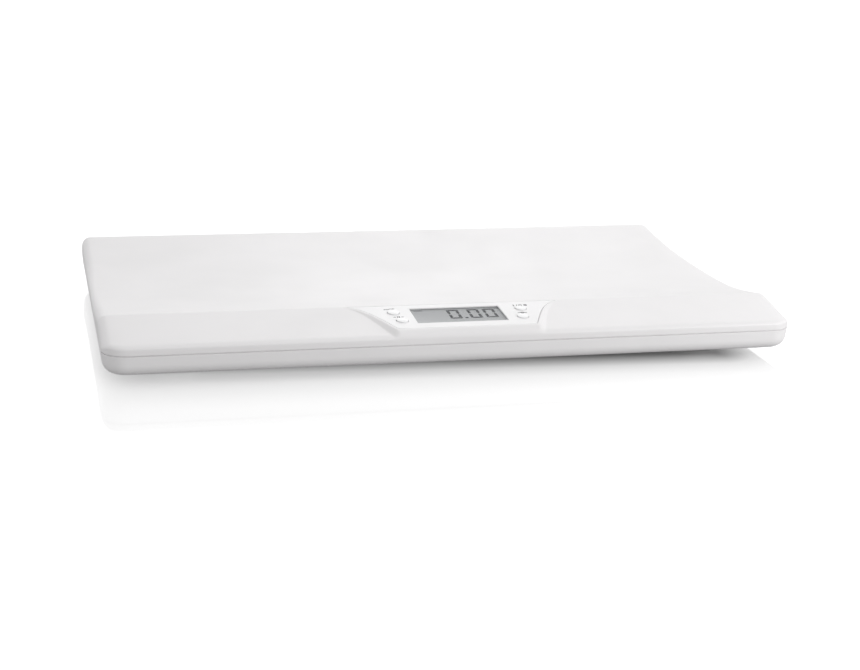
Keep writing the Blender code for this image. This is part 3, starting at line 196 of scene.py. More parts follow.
class BabyScaleStage(bpy.types.PropertyGroup):
    """Light and floor."""

    floor: colour("Floor", (0.55, 0.55, 0.55), "Colour of the floor under its own glow")
    world: number("Sky", 0.75, "Strength of the even light from all round")
    key: number("Key light", 3.5, "Power of the soft light above and behind")
    rear: number("Rear light", 1.6, "Power of the low soft light behind")
    fill: number("Fill light", 3.8, "Power of the soft light at the front right")
    # Reach, inset and turn shape the painted shadow: the field round the object where the floor's glow is held
    # back
    reach: length("Glow reach", 0.4000, "Distance over which the floor's glow grows to its full strength")
    inset: length("Shadow inset", 0.0450, "How far inside the object's outline the floor's glow begins")
    turn: number("Shadow turn", 4.2, "Degrees clockwise by which the shadow's field is turned")
    glow: number("Floor glow", 0.53, "Glow that makes the floor white away from the object")


def sizes():
    return bpy.context.scene.baby_scale_sizes


def console():
    return bpy.context.scene.baby_scale_console


def colours():
    return bpy.context.scene.baby_scale_colours


# Meshes


def finished(name, shape, sharp=30.0):
    """Turns a bmesh into a smooth mesh with sharp edges where its faces turn quickly."""
    bmesh.ops.recalc_face_normals(shape, faces=shape.faces)
    mesh = bpy.data.meshes.new(name)
    shape.to_mesh(mesh)
    shape.free()
    mesh.shade_smooth()
    mesh.set_sharp_from_angle(angle=math.radians(sharp))
    return mesh


def loft_between(shape, low, high):
    count = len(low)
    for at in range(count):
        after = (at + 1) % count
        shape.faces.new((low[at], low[after], high[after], high[at]))


def prism(shape, rings):
    """Adds a closed body through outlines of equal count, each a list of points with its height."""
    loops = [[shape.verts.new((x, y, height)) for x, y in outline] for outline, height in rings]
    for low, high in zip(loops, loops[1:]):
        loft_between(shape, low, high)
    shape.faces.new(list(reversed(loops[0])))
    shape.faces.new(loops[-1])


def circle(centre, radius, sides=48):
    turns = [math.tau * at / sides for at in range(sides)]
    return [(centre[0] + radius * math.cos(turn), centre[1] + radius * math.sin(turn)) for turn in turns]


def rounded_rectangle(centre, half_x, half_y, radius, steps=6):
    points = []
    for turn, (sx, sy) in enumerate([(1, -1), (1, 1), (-1, 1), (-1, -1)]):
        for step in range(steps + 1):
            angle = math.radians(90 * turn - 90 + 90 * step / steps)
            points.append((
                centre[0] + sx * (half_x - radius) + radius * math.cos(angle),
                centre[1] + sy * (half_y - radius) + radius * math.sin(angle),
            ))
    return points


def box(shape, low, high):
    low, high = Vector(low), Vector(high)
    place = Matrix.Translation((low + high) / 2) @ Matrix.Diagonal((*(high - low), 1.0))
    bmesh.ops.create_cube(shape, size=1.0, matrix=place)


def turned(name, profile, sides=64, sharp=30.0):
    """Turns (radius, height) points round the upright axis; the first and last stand on the axis."""
    shape = bmesh.new()
    top = shape.verts.new((0, 0, profile[0][1]))
    foot = shape.verts.new((0, 0, profile[-1][1]))
    rings = [
        [shape.verts.new((x, y, height)) for x, y in circle((0, 0), radius, sides)]
        for radius, height in profile[1:-1]
    ]
    for high, low in zip(rings, rings[1:]):
        loft_between(shape, low, high)
    for at in range(sides):
        after = (at + 1) % sides
        shape.faces.new((rings[0][at], rings[0][after], top))
        shape.faces.new((rings[-1][after], rings[-1][at], foot))
    return finished(name, shape, sharp)


def arc(centre, radius, start, stop, steps):
    """Points on a part of a circle in a section, from one angle in degrees to another."""
    return [
        (
            centre[0] + radius * math.cos(math.radians(start + (stop - start) * at / steps)),
            centre[1] + radius * math.sin(math.radians(start + (stop - start) * at / steps)),
        )
        for at in range(steps + 1)
    ]


def shaped(name, mesh, joined=(), removed=(), sharp=30.0):
    """Joins meshes to one, takes others away from it, and gives the mesh that is left."""
    thing = bpy.data.objects.new(name, mesh)
    bpy.context.scene.collection.objects.link(thing)
    helpers = []
    for operation, others in (("UNION", joined), ("DIFFERENCE", removed)):
        for other in others:
            helper = bpy.data.objects.new(other.name, other)
            bpy.context.scene.collection.objects.link(helper)
            helpers.append(helper)
            modifier = thing.modifiers.new(other.name, "BOOLEAN")
            modifier.operation = operation
            modifier.solver = "EXACT"
            modifier.object = helper
    bpy.context.view_layer.update()
    result = bpy.data.meshes.new_from_object(thing.evaluated_get(bpy.context.evaluated_depsgraph_get()))
    for used in [thing, *helpers]:
        used_mesh = used.data
        bpy.data.objects.remove(used, do_unlink=True)
        bpy.data.meshes.remove(used_mesh)
    if not result.polygons:
        raise RuntimeError(f"{name} came out empty")
    result.name = name
    result.shade_smooth()
    result.set_sharp_from_angle(angle=math.radians(sharp))
    return result


def mesh_of(name, build, sharp=30.0):
    shape = bmesh.new()
    build(shape)
    return finished(name, shape, sharp)


def place_piece(name, mesh, material, body, nodes=(), at=(0, 0, 0)):
    """Links a new piece, gives it its finish, and sets it on a body in place of the frame's nodes."""
    thing = bpy.data.objects.new(name, mesh)
    bpy.context.scene.collection.objects.link(thing)
    thing.location = at
    if material and not mesh.materials:
        mesh.materials.append(material)
    weighted = thing.modifiers.new("even_shading", "WEIGHTED_NORMAL")
    weighted.keep_sharp = True
    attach(thing, body)
    if nodes:
        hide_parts(*nodes)
    return thing


def finish_nodes(material, *names):
    """Gives nodes of the frame their finish."""
    for name in names:
        thing = NODES[name]
        if thing.material_slots:
            for held in thing.material_slots:
                held.material = material
        else:
            thing.data.materials.append(material)


# The tray's surface


def smooth(part):
    part = min(max(part, 0.0), 1.0)
    return part * part * (3 - 2 * part)


def drawn_in(depth, radius):
    """How far a rounded plan corner draws the side in, a depth in from the end."""
    return radius - math.sqrt(max(radius ** 2 - max(radius - depth, 0.0) ** 2, 0.0))


def bezier(a, b, c, d, part):
    rest = 1 - part
    return tuple(
        rest ** 3 * p + 3 * rest ** 2 * part * q + 3 * rest * part ** 2 * r + part ** 3 * t
        for p, q, r, t in zip(a, b, c, d)
    )


class TrayForm:
    """The tray's surface: sections from front to back, set along the length."""

    def __init__(self, s, c, fine):
        self.s, self.c, self.fine = s, c, fine
        self.front, self.back, self.end = -s.width / 2, s.width / 2, s.length / 2
        self.crest_y = self.front + s.crest_back
        self.low_y = self.front + s.low_back
        self.rim_y = self.back - s.rim_inset
        self.bottom = s.parting + s.groove / 2

    def fascia_height(self, y):
        return self.s.crest_height - self.s.fascia_grade * (self.crest_y - y)

    def panel_height(self, y):
        return self.s.crest_height - self.c.grade * (self.crest_y - y)

    def cradle_height(self, y):
        s = self.s
        if y < self.low_y:
            part = (self.low_y - y) / (self.low_y - self.crest_y)
            return s.low_height + (s.crest_height - s.low_height) * part ** FRONT_POWER
        part = (y - self.low_y) / (self.rim_y - self.low_y)
        return s.low_height + (s.rim_height - s.low_height) * part ** BACK_POWER

    def front_half(self, lip, height, grade, shares, inset, bottom):
        """Section from the bottom edge up over the front to the crest."""
        wall = (self.front + inset, self.bottom + self.s.front_wall - inset)
        top = (self.front + lip + inset, height(self.front + lip + inset) - inset)
        low_share, high_share, pull_share = shares
        wall_handle = (wall[0] + pull_share * lip, wall[1] + low_share * (top[1] - wall[1]))
        top_handle = (top[0] - high_share * lip, top[1] - grade * high_share * lip)
        steps = 14 if self.fine else 3
        points = [(self.front + inset, bottom)]
        points += [bezier(wall, wall_handle, top_handle, top, at / steps) for at in range(steps + 1)]
        soft = self.s.crest_round
        stop = self.crest_y - soft
        steps = 12 if self.fine else 3
        for at in range(1, steps + 1):
            part = 1 - (1 - at / steps) ** 1.5
            y = top[0] + (stop - top[0]) * part
            points.append((y, height(y) - inset))
        rear_grade = -FRONT_POWER * (self.s.crest_height - self.s.low_height) / (self.low_y - self.crest_y)
        for at in (0.5, 1.0, 1.5, 2.0):
            z = self.s.crest_height + grade * soft * (at - 1) + (rear_grade - grade) * at * at * soft / 4
            points.append((self.crest_y + soft * (at - 1), z - inset))
        return points

    def back_half(self, inset, bottom):
        """Section from the crest through the cradle and down over the rim to the bottom edge."""
        points = []
        steps = 18 if self.fine else 6
        for start, stop in ((self.crest_y + self.s.crest_round, self.low_y), (self.low_y, self.rim_y)):
            for at in range(1, steps + 1):
                y = start + (stop - start) * at / steps
                points.append((y, self.cradle_height(y) - inset))
        steps = 8 if self.fine else 3
        for at in range(1, steps + 1):
            turn = math.radians(90 * at / steps)
            points.append((
                self.rim_y + (self.s.rim_inset - inset) * math.sin(turn),
                self.s.rim_height - inset - self.s.rim_fall * (1 - math.cos(turn)),
            ))
        return points + [(self.back - inset, bottom)]

    def flank_foot(self, down):
        c = self.c
        return c.flank_base - c.flank_taper * down + c.flank_flare * math.exp(-down / c.flank_reach)

    def plateau_edge(self, down):
        rise = (self.s.fascia_grade - self.c.grade) * down
        return self.flank_foot(down) - self.c.flank_least - rise / self.c.flank_grade

    def stations(self):
        """Places along the length from the middle to one end, with how much console each holds."""
        rows = [("middle", 0.0, 1.0)]
        flank, run, turns = (14, 6, 18) if self.fine else (3, 1, 5)
        rows += [("flank", at / flank, 1 - smooth(at / flank)) for at in range(flank + 1)]
        rows += [("run", at / run, 0.0) for at in range(1, run)]
        rows += [("end", 1 - math.sin(math.radians(90 * at / turns)), 0.0) for at in range(turns + 1)]
        return rows

    def point(self, station, plain, raised, side, inset):
        """One point of a station: the section's, moved for the flank, the corner and the rounded end."""
        kind, part, held = station
        y, z = (p + held * (r - p) for p, r in zip(plain, raised))
        down = max(self.crest_y - plain[0], 0.0)
        behind = smooth((plain[0] - self.crest_y) / self.s.crest_back)
        radius = self.s.plan_radius - inset
        x, aside = 0.0, self.c.aside
        if kind in ("flank", "run"):
            along = part if kind == "flank" else 1.0
            near = self.plateau_edge(down) + along * (self.flank_foot(down) - self.plateau_edge(down))
            spread = self.c.flank_end * (FLANK_SPREAD_SHARE + (1 - FLANK_SPREAD_SHARE) * along)
            x = near + behind * (spread - near)
        if kind == "run":
            x += part * (self.end - inset - radius - x)
            aside *= 1 - part
        if kind == "end":
            aside = 0.0
            depth = part * radius
            x = self.end - inset - depth
            if y < self.crest_y:
                room = self.s.crest_back - inset
                y = self.crest_y - (self.crest_y - y) * (room - drawn_in(depth, radius)) / room
            if y > self.low_y:
                room = self.back - self.low_y - inset
                drawn = drawn_in(depth, self.s.back_radius - inset)
                y = self.low_y + (y - self.low_y) * (room - drawn) / room
            z -= self.end_drop(z, depth)
        return (side * x + aside, y, z)

    def end_drop(self, height, depth):
        """How far the rounded end drops the surface, a depth in from the end."""
        fall = min(self.s.end_fall, END_FALL_SHARE * max(height - self.bottom, 0.0))
        reach = min(self.s.end_round, END_ROUND_RATIO * fall)
        if depth >= reach or reach <= 0:
            return 0.0
        return fall * (1 - math.sqrt(max(1 - (1 - depth / reach) ** 2, 0.0)))

    def base_outline(self, inset, steps=18):
        """Outline of the base seen from above, drawn in by an inset."""
        points = []
        for turn, (sx, sy) in enumerate([(1, -1), (1, 1), (-1, 1), (-1, -1)]):
            radius = max((self.s.back_radius if sy > 0 else self.s.plan_radius) - inset, LEAST_RADIUS)
            for step in range(steps + 1):
                angle = math.radians(90 * turn - 90 + 90 * step / steps)
                points.append((
                    sx * (self.end - inset - radius) + radius * math.cos(angle),
                    sy * (self.back - inset - radius) + radius * math.sin(angle),
                ))
        return points

    def body(self, name, inset, bottom, edge=0.0):
        """Closed body under the surface, drawn in by an inset, with a rounded bottom edge."""
        start = bottom + edge
        rear = self.back_half(inset, start)
        s, c = self.s, self.c
        plain = self.front_half(
            s.fascia_lip, self.fascia_height, s.fascia_grade, FASCIA_CURVE_SHARES, inset, start
        ) + rear
        raised = self.front_half(c.lip, self.panel_height, c.grade, CONSOLE_CURVE_SHARES, inset, start) + rear
        right = self.stations()
        stations = [(row, -1) for row in reversed(right)] + [(row, 1) for row in right[1:]]
        shape = bmesh.new()
        rows = [
            [shape.verts.new(self.point(station, p, r, side, inset)) for p, r in zip(plain, raised)]
            for station, side in stations
        ]
        for low, high in zip(rows, rows[1:]):
            for quad in zip(low, high, high[1:], low[1:]):
                shape.faces.new(quad)
        shape.faces.new(rows[0])
        shape.faces.new(list(reversed(rows[-1])))
        loop = [row[0] for row in rows] + [row[-1] for row in reversed(rows)]
        outline = [vert.co.copy() for vert in loop]
        steps = 3 if edge else 0
        for at in range(1, steps + 1):
            turn = math.radians(90 * at / steps)
            lower = []
            for spot in outline:
                radius = (s.back_radius if spot.y > self.low_y else s.plan_radius) - inset
                near_x = min(max(spot.x, radius - self.end + inset), self.end - inset - radius)
                near_y = min(max(spot.y, self.front + inset + radius), self.back - inset - radius)
                away = Vector((spot.x - near_x, spot.y - near_y, 0.0)).normalized()
                spot_below = spot - away * edge * (1 - math.cos(turn))
                lower.append(shape.verts.new((spot_below.x, spot_below.y, start - edge * math.sin(turn))))
            loft_between(shape, lower, loop)
            loop = lower
        shape.faces.new(loop)
        return finished(name, shape)

    def panel_outline(self, inset, stops=20):
        """Outline of the console panel in the console's own frame, drawn in by an inset."""
        c = self.c
        lean = math.cos(math.atan(c.grade))
        side = []
        for stop in range(stops + 1):
            down = c.panel_top + inset + (c.panel_bottom - c.panel_top - 2 * inset) * stop / stops
            side.append((self.plateau_edge(down * lean) - c.panel_edge - inset, -down))
        corner, before = Vector(side[-1]), Vector(side[-2])
        cut = min(c.panel_corner / (before - corner).length, 0.95)
        start, stop = corner.lerp(before, cut), corner - Vector((c.panel_corner, 0.0))
        side[-1] = tuple(start)
        for at in range(1, 6):
            part = at / 5
            side.append(tuple(start.lerp(corner, part).lerp(corner.lerp(stop, part), part)))
        return list(reversed(side)) + [(-x, y) for x, y in side]


def tray_form(fine=True):
    return TrayForm(sizes(), console(), fine)


def console_place():
    """The console's own frame: on the ridge, Y up the panel's slope and Z square to the panel."""
    c, form = console(), tray_form()
    turn = Matrix.Rotation(math.atan(c.grade), 4, "X")
    return Matrix.Translation((c.aside, form.crest_y, sizes().crest_height)) @ turn


def on_console(mesh):
    mesh.transform(console_place())
    return mesh


def window_outline(margin):
    c = console()
    centre = (-c.window_x, -c.window_top - c.window_tall / 2)
    corner = max(c.window_corner + margin, 0.0002)
    return rounded_rectangle(centre, c.window_wide / 2 + margin, c.window_tall / 2 + margin, corner)


def button_spots():
    """Name of each button with its place on the panel, as distance from the middle and down the slope."""
    half = console().window_wide / 2
    return {
        "unit": (-half - 0.0156, -0.0166),
        "hold": (-half - 0.0122, -0.0338),
        "on_off": (half + 0.0156, -0.0166),
        "tare": (half + 0.0122, -0.0338),
    }


def flared(outline, low, high, rim, steps=3):
    """Rings of a cutter that rounds over the edge of the opening it leaves at height zero."""
    rings = [(outline(0.0), low)]
    for at in range(steps + 1):
        turn = math.radians(90 * at / steps)
        rings.append((outline(rim * (1 - math.cos(turn))), -rim * (1 - math.sin(turn))))
    return rings + [(outline(rim), high)]


def console_openings(name, margin, low, rim):
    """Cutter for the display window and the four buttons, in the console's frame."""
    def build(shape):
        prism(shape, flared(lambda more: window_outline(margin + more), low, OVERRUN, rim))
        radius = console().button_diameter / 2 + GAP
        for spot in button_spots().values():
            prism(shape, flared(lambda more, spot=spot: circle(spot, radius + more), low, OVERRUN, rim))
    return on_console(mesh_of(name, build))


# Effects shared by several materials


def effect(name, takes, gives, build):
    """Makes a shader node group once, with named sockets, and gives it back."""
    group = bpy.data.node_groups.get(name)
    if group:
        return group
    group = bpy.data.node_groups.new(name, "ShaderNodeTree")
    for socket, kind, value in takes:
        made = group.interface.new_socket(name=socket, in_out="INPUT", socket_type=kind)
        made.default_value = value
    for socket, kind in gives:
        group.interface.new_socket(name=socket, in_out="OUTPUT", socket_type=kind)
    build(group, group.nodes.new("NodeGroupInput"), group.nodes.new("NodeGroupOutput"))
    return group


def add_node(tree, kind, links=(), **values):
    """Adds a node; values set its properties, links feed its inputs by name or number."""
    made = tree.nodes.new(kind)
    for key, value in values.items():
        setattr(made, key, value)
    for socket, value in dict(links).items():
        if isinstance(value, bpy.types.NodeSocket):
            tree.links.new(value, made.inputs[socket])
        else:
            made.inputs[socket].default_value = value
    return made


def maths(tree, operation, *values):
    return add_node(tree, "ShaderNodeMath", dict(enumerate(values)), operation=operation).outputs[0]


def blended(tree, factor, first, second):
    made = add_node(tree, "ShaderNodeMix", data_type="RGBA")
    for socket, value in ((0, factor), (6, first), (7, second)):
        if isinstance(value, bpy.types.NodeSocket):
            tree.links.new(value, made.inputs[socket])
        else:
            made.inputs[socket].default_value = value
    return made.outputs[2]


def ramp(tree, factor, *stops):
    made = add_node(tree, "ShaderNodeValToRGB", {0: factor})
    elements = made.color_ramp.elements
    for at, (place, value) in enumerate(stops):
        element = elements[at] if at < 2 else elements.new(place)
        element.position = place
        element.color = (*value, 1.0) if isinstance(value, tuple) else (value, value, value, 1.0)
    return made.outputs[0]


def object_place(tree, *scale):
    """Place on the object, which is metres in the frame of the scale, stretched along the axes."""
    spot = add_node(tree, "ShaderNodeTexCoord").outputs["Object"]
    return add_node(tree, "ShaderNodeMapping", {"Vector": spot, "Scale": scale or (1, 1, 1)}).outputs[0]


def moulded_grain():
    """Fine eroded grain of a mould, with soft clouds in tone and gloss."""
    def build(group, takes, gives):
        spot = object_place(group)
        fine = add_node(group, "ShaderNodeTexNoise", {
            "Vector": spot, "Scale": takes.outputs["Grain"], "Detail": 2.0, "Roughness": 0.6,
        }).outputs["Fac"]
        cloud = add_node(group, "ShaderNodeTexNoise", {
            "Vector": spot, "Scale": takes.outputs["Clouds"], "Detail": 3.0, "Roughness": 0.55,
        }).outputs["Fac"]
        soft = ramp(group, cloud, (0.35, 0.0), (0.65, 1.0))
        tone = blended(group, soft, takes.outputs["Color"], takes.outputs["Shade"])
        change = maths(
            group, "ADD", maths(group, "SUBTRACT", fine, 0.5), maths(group, "SUBTRACT", cloud, 0.5)
        )
        rough = maths(group, "MULTIPLY_ADD", change, takes.outputs["Spread"], takes.outputs["Roughness"])
        for socket, value in (("Color", tone), ("Roughness", rough), ("Height", fine)):
            group.links.new(value, gives.inputs[socket])
    return effect(
        "Moulded Grain",
        [
            ("Color", "NodeSocketColor", (0.8, 0.8, 0.8, 1.0)),
            ("Shade", "NodeSocketColor", (0.7, 0.7, 0.7, 1.0)),
            ("Roughness", "NodeSocketFloat", 0.4), ("Spread", "NodeSocketFloat", 0.1),
            ("Grain", "NodeSocketFloat", 1600.0), ("Clouds", "NodeSocketFloat", 14.0),
        ],
        [("Color", "NodeSocketColor"), ("Roughness", "NodeSocketFloat"), ("Height", "NodeSocketFloat")],
        build,
    )


def handling_marks():
    """Faint rub marks: thin streaks and dull patches that make a surface a little rougher."""
    def build(group, takes, gives):
        streak = add_node(group, "ShaderNodeTexNoise", {
            "Vector": object_place(group, 30, 520, 520), "Scale": 1.0, "Detail": 2.0, "Distortion": 0.6,
        }).outputs["Fac"]
        patch = add_node(group, "ShaderNodeTexNoise", {
            "Vector": object_place(group, 26, 26, 26), "Scale": 1.0, "Detail": 4.0,
        }).outputs["Fac"]
        thin = ramp(group, streak, (0.62, 0.0), (0.72, 1.0))
        wide = ramp(group, patch, (0.50, 0.0), (0.75, 1.0))
        mask = maths(group, "MULTIPLY", maths(group, "MAXIMUM", thin, wide), takes.outputs["Amount"])
        rough = maths(group, "ADD", takes.outputs["Roughness"], mask)
        group.links.new(rough, gives.inputs["Roughness"])
        group.links.new(mask, gives.inputs["Mask"])
    return effect(
        "Handling Marks",
        [("Roughness", "NodeSocketFloat", 0.4), ("Amount", "NodeSocketFloat", 0.06)],
        [("Roughness", "NodeSocketFloat"), ("Mask", "NodeSocketFloat")],
        build,
    )


def drawn_metal():
    """Fine lines along the length of drawn or rolled metal."""
    def build(group, takes, gives):
        line = add_node(group, "ShaderNodeTexNoise", {
            "Vector": object_place(group, 160, 4200, 2600), "Scale": 1.0, "Detail": 3.0,
        }).outputs["Fac"]
        tone = blended(group, line, takes.outputs["Color"], takes.outputs["Shade"])
        rough = maths(group, "MULTIPLY_ADD", line, 0.18, takes.outputs["Roughness"])
        for socket, value in (("Color", tone), ("Roughness", rough), ("Height", line)):
            group.links.new(value, gives.inputs[socket])
    return effect(
        "Drawn Metal",
        [
            ("Color", "NodeSocketColor", (0.7, 0.7, 0.7, 1.0)),
            ("Shade", "NodeSocketColor", (0.5, 0.5, 0.5, 1.0)),
            ("Roughness", "NodeSocketFloat", 0.25),
        ],
        [("Color", "NodeSocketColor"), ("Roughness", "NodeSocketFloat"), ("Height", "NodeSocketFloat")],
        build,
    )


# Materials


def new_material(name):
    material = bpy.data.materials.new(name)
    material.use_nodes = True
    tree = material.node_tree
    return material, tree, tree.nodes["Principled BSDF"]


def bump(tree, shader, height, strength, depth):
    made = add_node(tree, "ShaderNodeBump", {"Strength": strength, "Distance": depth, "Height": height})
    tree.links.new(made.outputs["Normal"], shader.inputs["Normal"])


def plastic(name, tone, shade, roughness, spread=0.08, grain=1600.0, depth=0.00004, marks=0.05, clouds=14.0):
    """Moulded plastic or rubber: grain, soft clouds and rub marks."""
    found = bpy.data.materials.get(name)
    if found:
        return found
    material, tree, shader = new_material(name)
    made = add_node(tree, "ShaderNodeGroup", node_tree=moulded_grain())
    for socket, value in (
        ("Color", (*tone, 1.0)), ("Shade", (*shade, 1.0)), ("Roughness", roughness), ("Spread", spread),
        ("Grain", grain), ("Clouds", clouds),
    ):
        made.inputs[socket].default_value = value
    rub = add_node(tree, "ShaderNodeGroup", node_tree=handling_marks())
    rub.inputs["Amount"].default_value = marks
    tree.links.new(made.outputs["Roughness"], rub.inputs["Roughness"])
    tree.links.new(made.outputs["Color"], shader.inputs["Base Color"])
    tree.links.new(rub.outputs["Roughness"], shader.inputs["Roughness"])
    bump(tree, shader, made.outputs["Height"], 0.35, depth)
    return material


def metal(name, tone, shade, roughness):
    found = bpy.data.materials.get(name)
    if found:
        return found
    material, tree, shader = new_material(name)
    made = add_node(tree, "ShaderNodeGroup", node_tree=drawn_metal())
    for socket, value in (("Color", (*tone, 1.0)), ("Shade", (*shade, 1.0)), ("Roughness", roughness)):
        made.inputs[socket].default_value = value
    tree.links.new(made.outputs["Color"], shader.inputs["Base Color"])
    tree.links.new(made.outputs["Roughness"], shader.inputs["Roughness"])
    shader.inputs["Metallic"].default_value = 1.0
    bump(tree, shader, made.outputs["Height"], 0.2, 0.00003)
    return material


def shell_plastic():
    tint = colours()
    return plastic("shell_plastic", tuple(tint.shell), tuple(tint.shell_shade), 0.42)


def panel_plastic():
    tint = colours()
    tone = tuple(tint.panel)
    shade = tuple(0.97 * part for part in tone)
    return plastic("panel_plastic", tone, shade, 0.36, grain=2300.0, depth=0.00002)


def cap_plastic():
    tone = tuple(colours().cap)
    shade = tuple(0.97 * part for part in tone)
    return plastic("cap_plastic", tone, shade, 0.27, grain=2600.0, depth=0.00001)


def clear_window():
    """Clear hard plastic: see-through, with the gloss of its face and faint wipe marks."""
    found = bpy.data.materials.get("clear_window")
    if found:
        return found
    material, tree, shader = new_material("clear_window")
    shader.inputs["Base Color"].default_value = (0.30, 0.31, 0.32, 1.0)
    shader.inputs["IOR"].default_value = 1.49
    shader.inputs["Alpha"].default_value = 0.07
    rub = add_node(tree, "ShaderNodeGroup", node_tree=handling_marks())
    rub.inputs["Roughness"].default_value = 0.06
    rub.inputs["Amount"].default_value = 0.03
    tree.links.new(rub.outputs["Roughness"], shader.inputs["Roughness"])
    return material


def display_ground():
    """Grey ground of the display: fine rubbed polariser, with a painted reflection that makes it lighter
    towards its lower left corner.
    """
    found = bpy.data.materials.get("display_ground")
    if found:
        return found
    material, tree, shader = new_material("display_ground")
    tint = colours()
    spot = add_node(tree, "ShaderNodeSeparateXYZ", {0: object_place(tree)})
    # Painted reflection: a mask by place on the display lightens the ground towards its lower left corner
    across = add_node(
        tree, "ShaderNodeMapRange", {"Value": spot.outputs[0], "From Min": -0.036, "From Max": 0.012}
    )
    down = add_node(
        tree, "ShaderNodeMapRange", {"Value": spot.outputs[1], "From Min": -0.146, "From Max": -0.126}
    )
    far = maths(tree, "ADD", across.outputs[0], down.outputs[0])
    glow = ramp(tree, maths(tree, "MULTIPLY", far, 0.5), (0.05, 1.0), (0.62, 0.0))
    rubbed = add_node(tree, "ShaderNodeTexNoise", {
        "Vector": object_place(tree, 900, 5200, 900), "Scale": 1.0, "Detail": 2.0,
    }).outputs["Fac"]
    ground = blended(tree, glow, (*tint.display, 1.0), (*tint.display_painted_reflection, 1.0))
    darker = tuple(0.9 * part for part in tint.display)
    fleck = ramp(tree, rubbed, (0.40, 0.0), (0.75, 0.35))
    tree.links.new(blended(tree, fleck, ground, (*darker, 1.0)), shader.inputs["Base Color"])
    tree.links.new(maths(tree, "MULTIPLY_ADD", rubbed, 0.12, 0.50), shader.inputs["Roughness"])
    shader.inputs["Specular IOR Level"].default_value = 0.15
    return material


def dark_ink(name, tone):
    """Ink or liquid-crystal black with a slight mottle."""
    found = bpy.data.materials.get(name)
    if found:
        return found
    material, tree, shader = new_material(name)
    made = add_node(tree, "ShaderNodeGroup", node_tree=moulded_grain())
    for socket, value in (
        ("Color", (*tone, 1.0)), ("Shade", (*(1.35 * part for part in tone), 1.0)), ("Roughness", 0.55),
        ("Spread", 0.1), ("Grain", 4200.0), ("Clouds", 700.0),
    ):
        made.inputs[socket].default_value = value
    shader.inputs["Specular IOR Level"].default_value = 0.15
    tree.links.new(made.outputs["Color"], shader.inputs["Base Color"])
    tree.links.new(made.outputs["Roughness"], shader.inputs["Roughness"])
    return material


def circuit_board():
    """Solder mask with copper tracks showing under it."""
    found = bpy.data.materials.get("circuit_board")
    if found:
        return found
    material, tree, shader = new_material("circuit_board")
    tone = tuple(colours().board)
    track = add_node(tree, "ShaderNodeTexBrick", {
        "Vector": object_place(tree, 1, 1, 0), "Scale": 240.0, "Mortar Size": 0.09, "Mortar Smooth": 0.2,
        "Brick Width": 2.6, "Row Height": 0.5,
    })
    made = add_node(tree, "ShaderNodeGroup", node_tree=moulded_grain())
    shade = (*(0.8 * part for part in tone), 1.0)
    for socket, value in (("Color", (*tone, 1.0)), ("Shade", shade), ("Roughness", 0.32)):
        made.inputs[socket].default_value = value
    raised = tuple(min(1.5 * part + 0.01, 1.0) for part in tone)
    mixed = blended(tree, track.outputs["Fac"], made.outputs["Color"], (*raised, 1.0))
    tree.links.new(mixed, shader.inputs["Base Color"])
    tree.links.new(made.outputs["Roughness"], shader.inputs["Roughness"])
    bump(tree, shader, track.outputs["Fac"], 0.5, 0.00004)
    return material


def battery_skin():
    """Printed sleeve with bare metal at both ends of the cell."""
    found = bpy.data.materials.get("battery_skin")
    if found:
        return found
    material, tree, shader = new_material("battery_skin")
    tone = tuple(colours().sleeve)
    spot = add_node(tree, "ShaderNodeSeparateXYZ", {0: object_place(tree)})
    along = maths(tree, "ABSOLUTE", spot.outputs[0])
    bare = ramp(tree, maths(tree, "MULTIPLY", along, 40.0), (0.76, 0.0), (0.78, 1.0))
    made = add_node(tree, "ShaderNodeGroup", node_tree=drawn_metal())
    made.inputs["Roughness"].default_value = 0.22
    tree.links.new(blended(tree, bare, (*tone, 1.0), made.outputs["Color"]), shader.inputs["Base Color"])
    tree.links.new(made.outputs["Roughness"], shader.inputs["Roughness"])
    tree.links.new(bare, shader.inputs["Metallic"])
    return material


def white_floor():
    """Glossy white floor that keeps the shadow under the object and turns quite white round it; its glow is
    held back near the object, which paints a darker shadow there beside the real one.
    """
    material, tree, shader = new_material("white_floor")
    stage = bpy.context.scene.baby_scale_stage
    shader.inputs["Base Color"].default_value = (*stage.floor, 1.0)
    shader.inputs["Roughness"].default_value = 0.05
    spot = add_node(tree, "ShaderNodeTexCoord").outputs["Object"]
    size = add_node(tree, "ShaderNodeVectorMath", {0: spot}, operation="ABSOLUTE").outputs[0]
    half = (CAD_HIGH.x - stage.inset, CAD_HIGH.y - stage.inset, 0.0)
    past = add_node(tree, "ShaderNodeVectorMath", {0: size, 1: half}, operation="SUBTRACT").outputs[0]
    out = add_node(tree, "ShaderNodeVectorMath", {0: past, 1: (0, 0, 0)}, operation="MAXIMUM").outputs[0]
    away = add_node(tree, "ShaderNodeVectorMath", {0: out}, operation="LENGTH").outputs["Value"]
    far = maths(tree, "DIVIDE", away, stage.reach)
    # Painted shadow: the glow is weak near the object's outline and grows with distance, which darkens the
    # floor there
    painted_shadow_lift = ramp(tree, far, (0.0, 0.10), (0.07, 0.86), (0.125, 1.0), (0.30, 0.92), (1.0, 1.0))
    path = add_node(tree, "ShaderNodeLightPath")
    seen = maths(tree, "MAXIMUM", path.outputs["Is Camera Ray"], path.outputs["Is Transmission Ray"])
    glow = maths(tree, "MULTIPLY", painted_shadow_lift, stage.glow)
    tree.links.new(maths(tree, "MULTIPLY", glow, seen), shader.inputs["Emission Strength"])
    shader.inputs["Emission Color"].default_value = (1, 1, 1, 1)
    return material


# Pieces, one operator for each piece or group of like pieces


KEY_PLACE = (0.60, 1.20, 0.80)
REAR_PLACE = (0.10, 1.60, 0.50)
FILL_PLACE = (0.75, -0.80, 0.28)
REAR_LAMP_SIZE = 1.2
FRONT_LAMP_SIZE = 0.6
CAMERA_PLACE = (-0.3278, -1.29737, 0.37771)
FLOOR_SIZE = 7.0


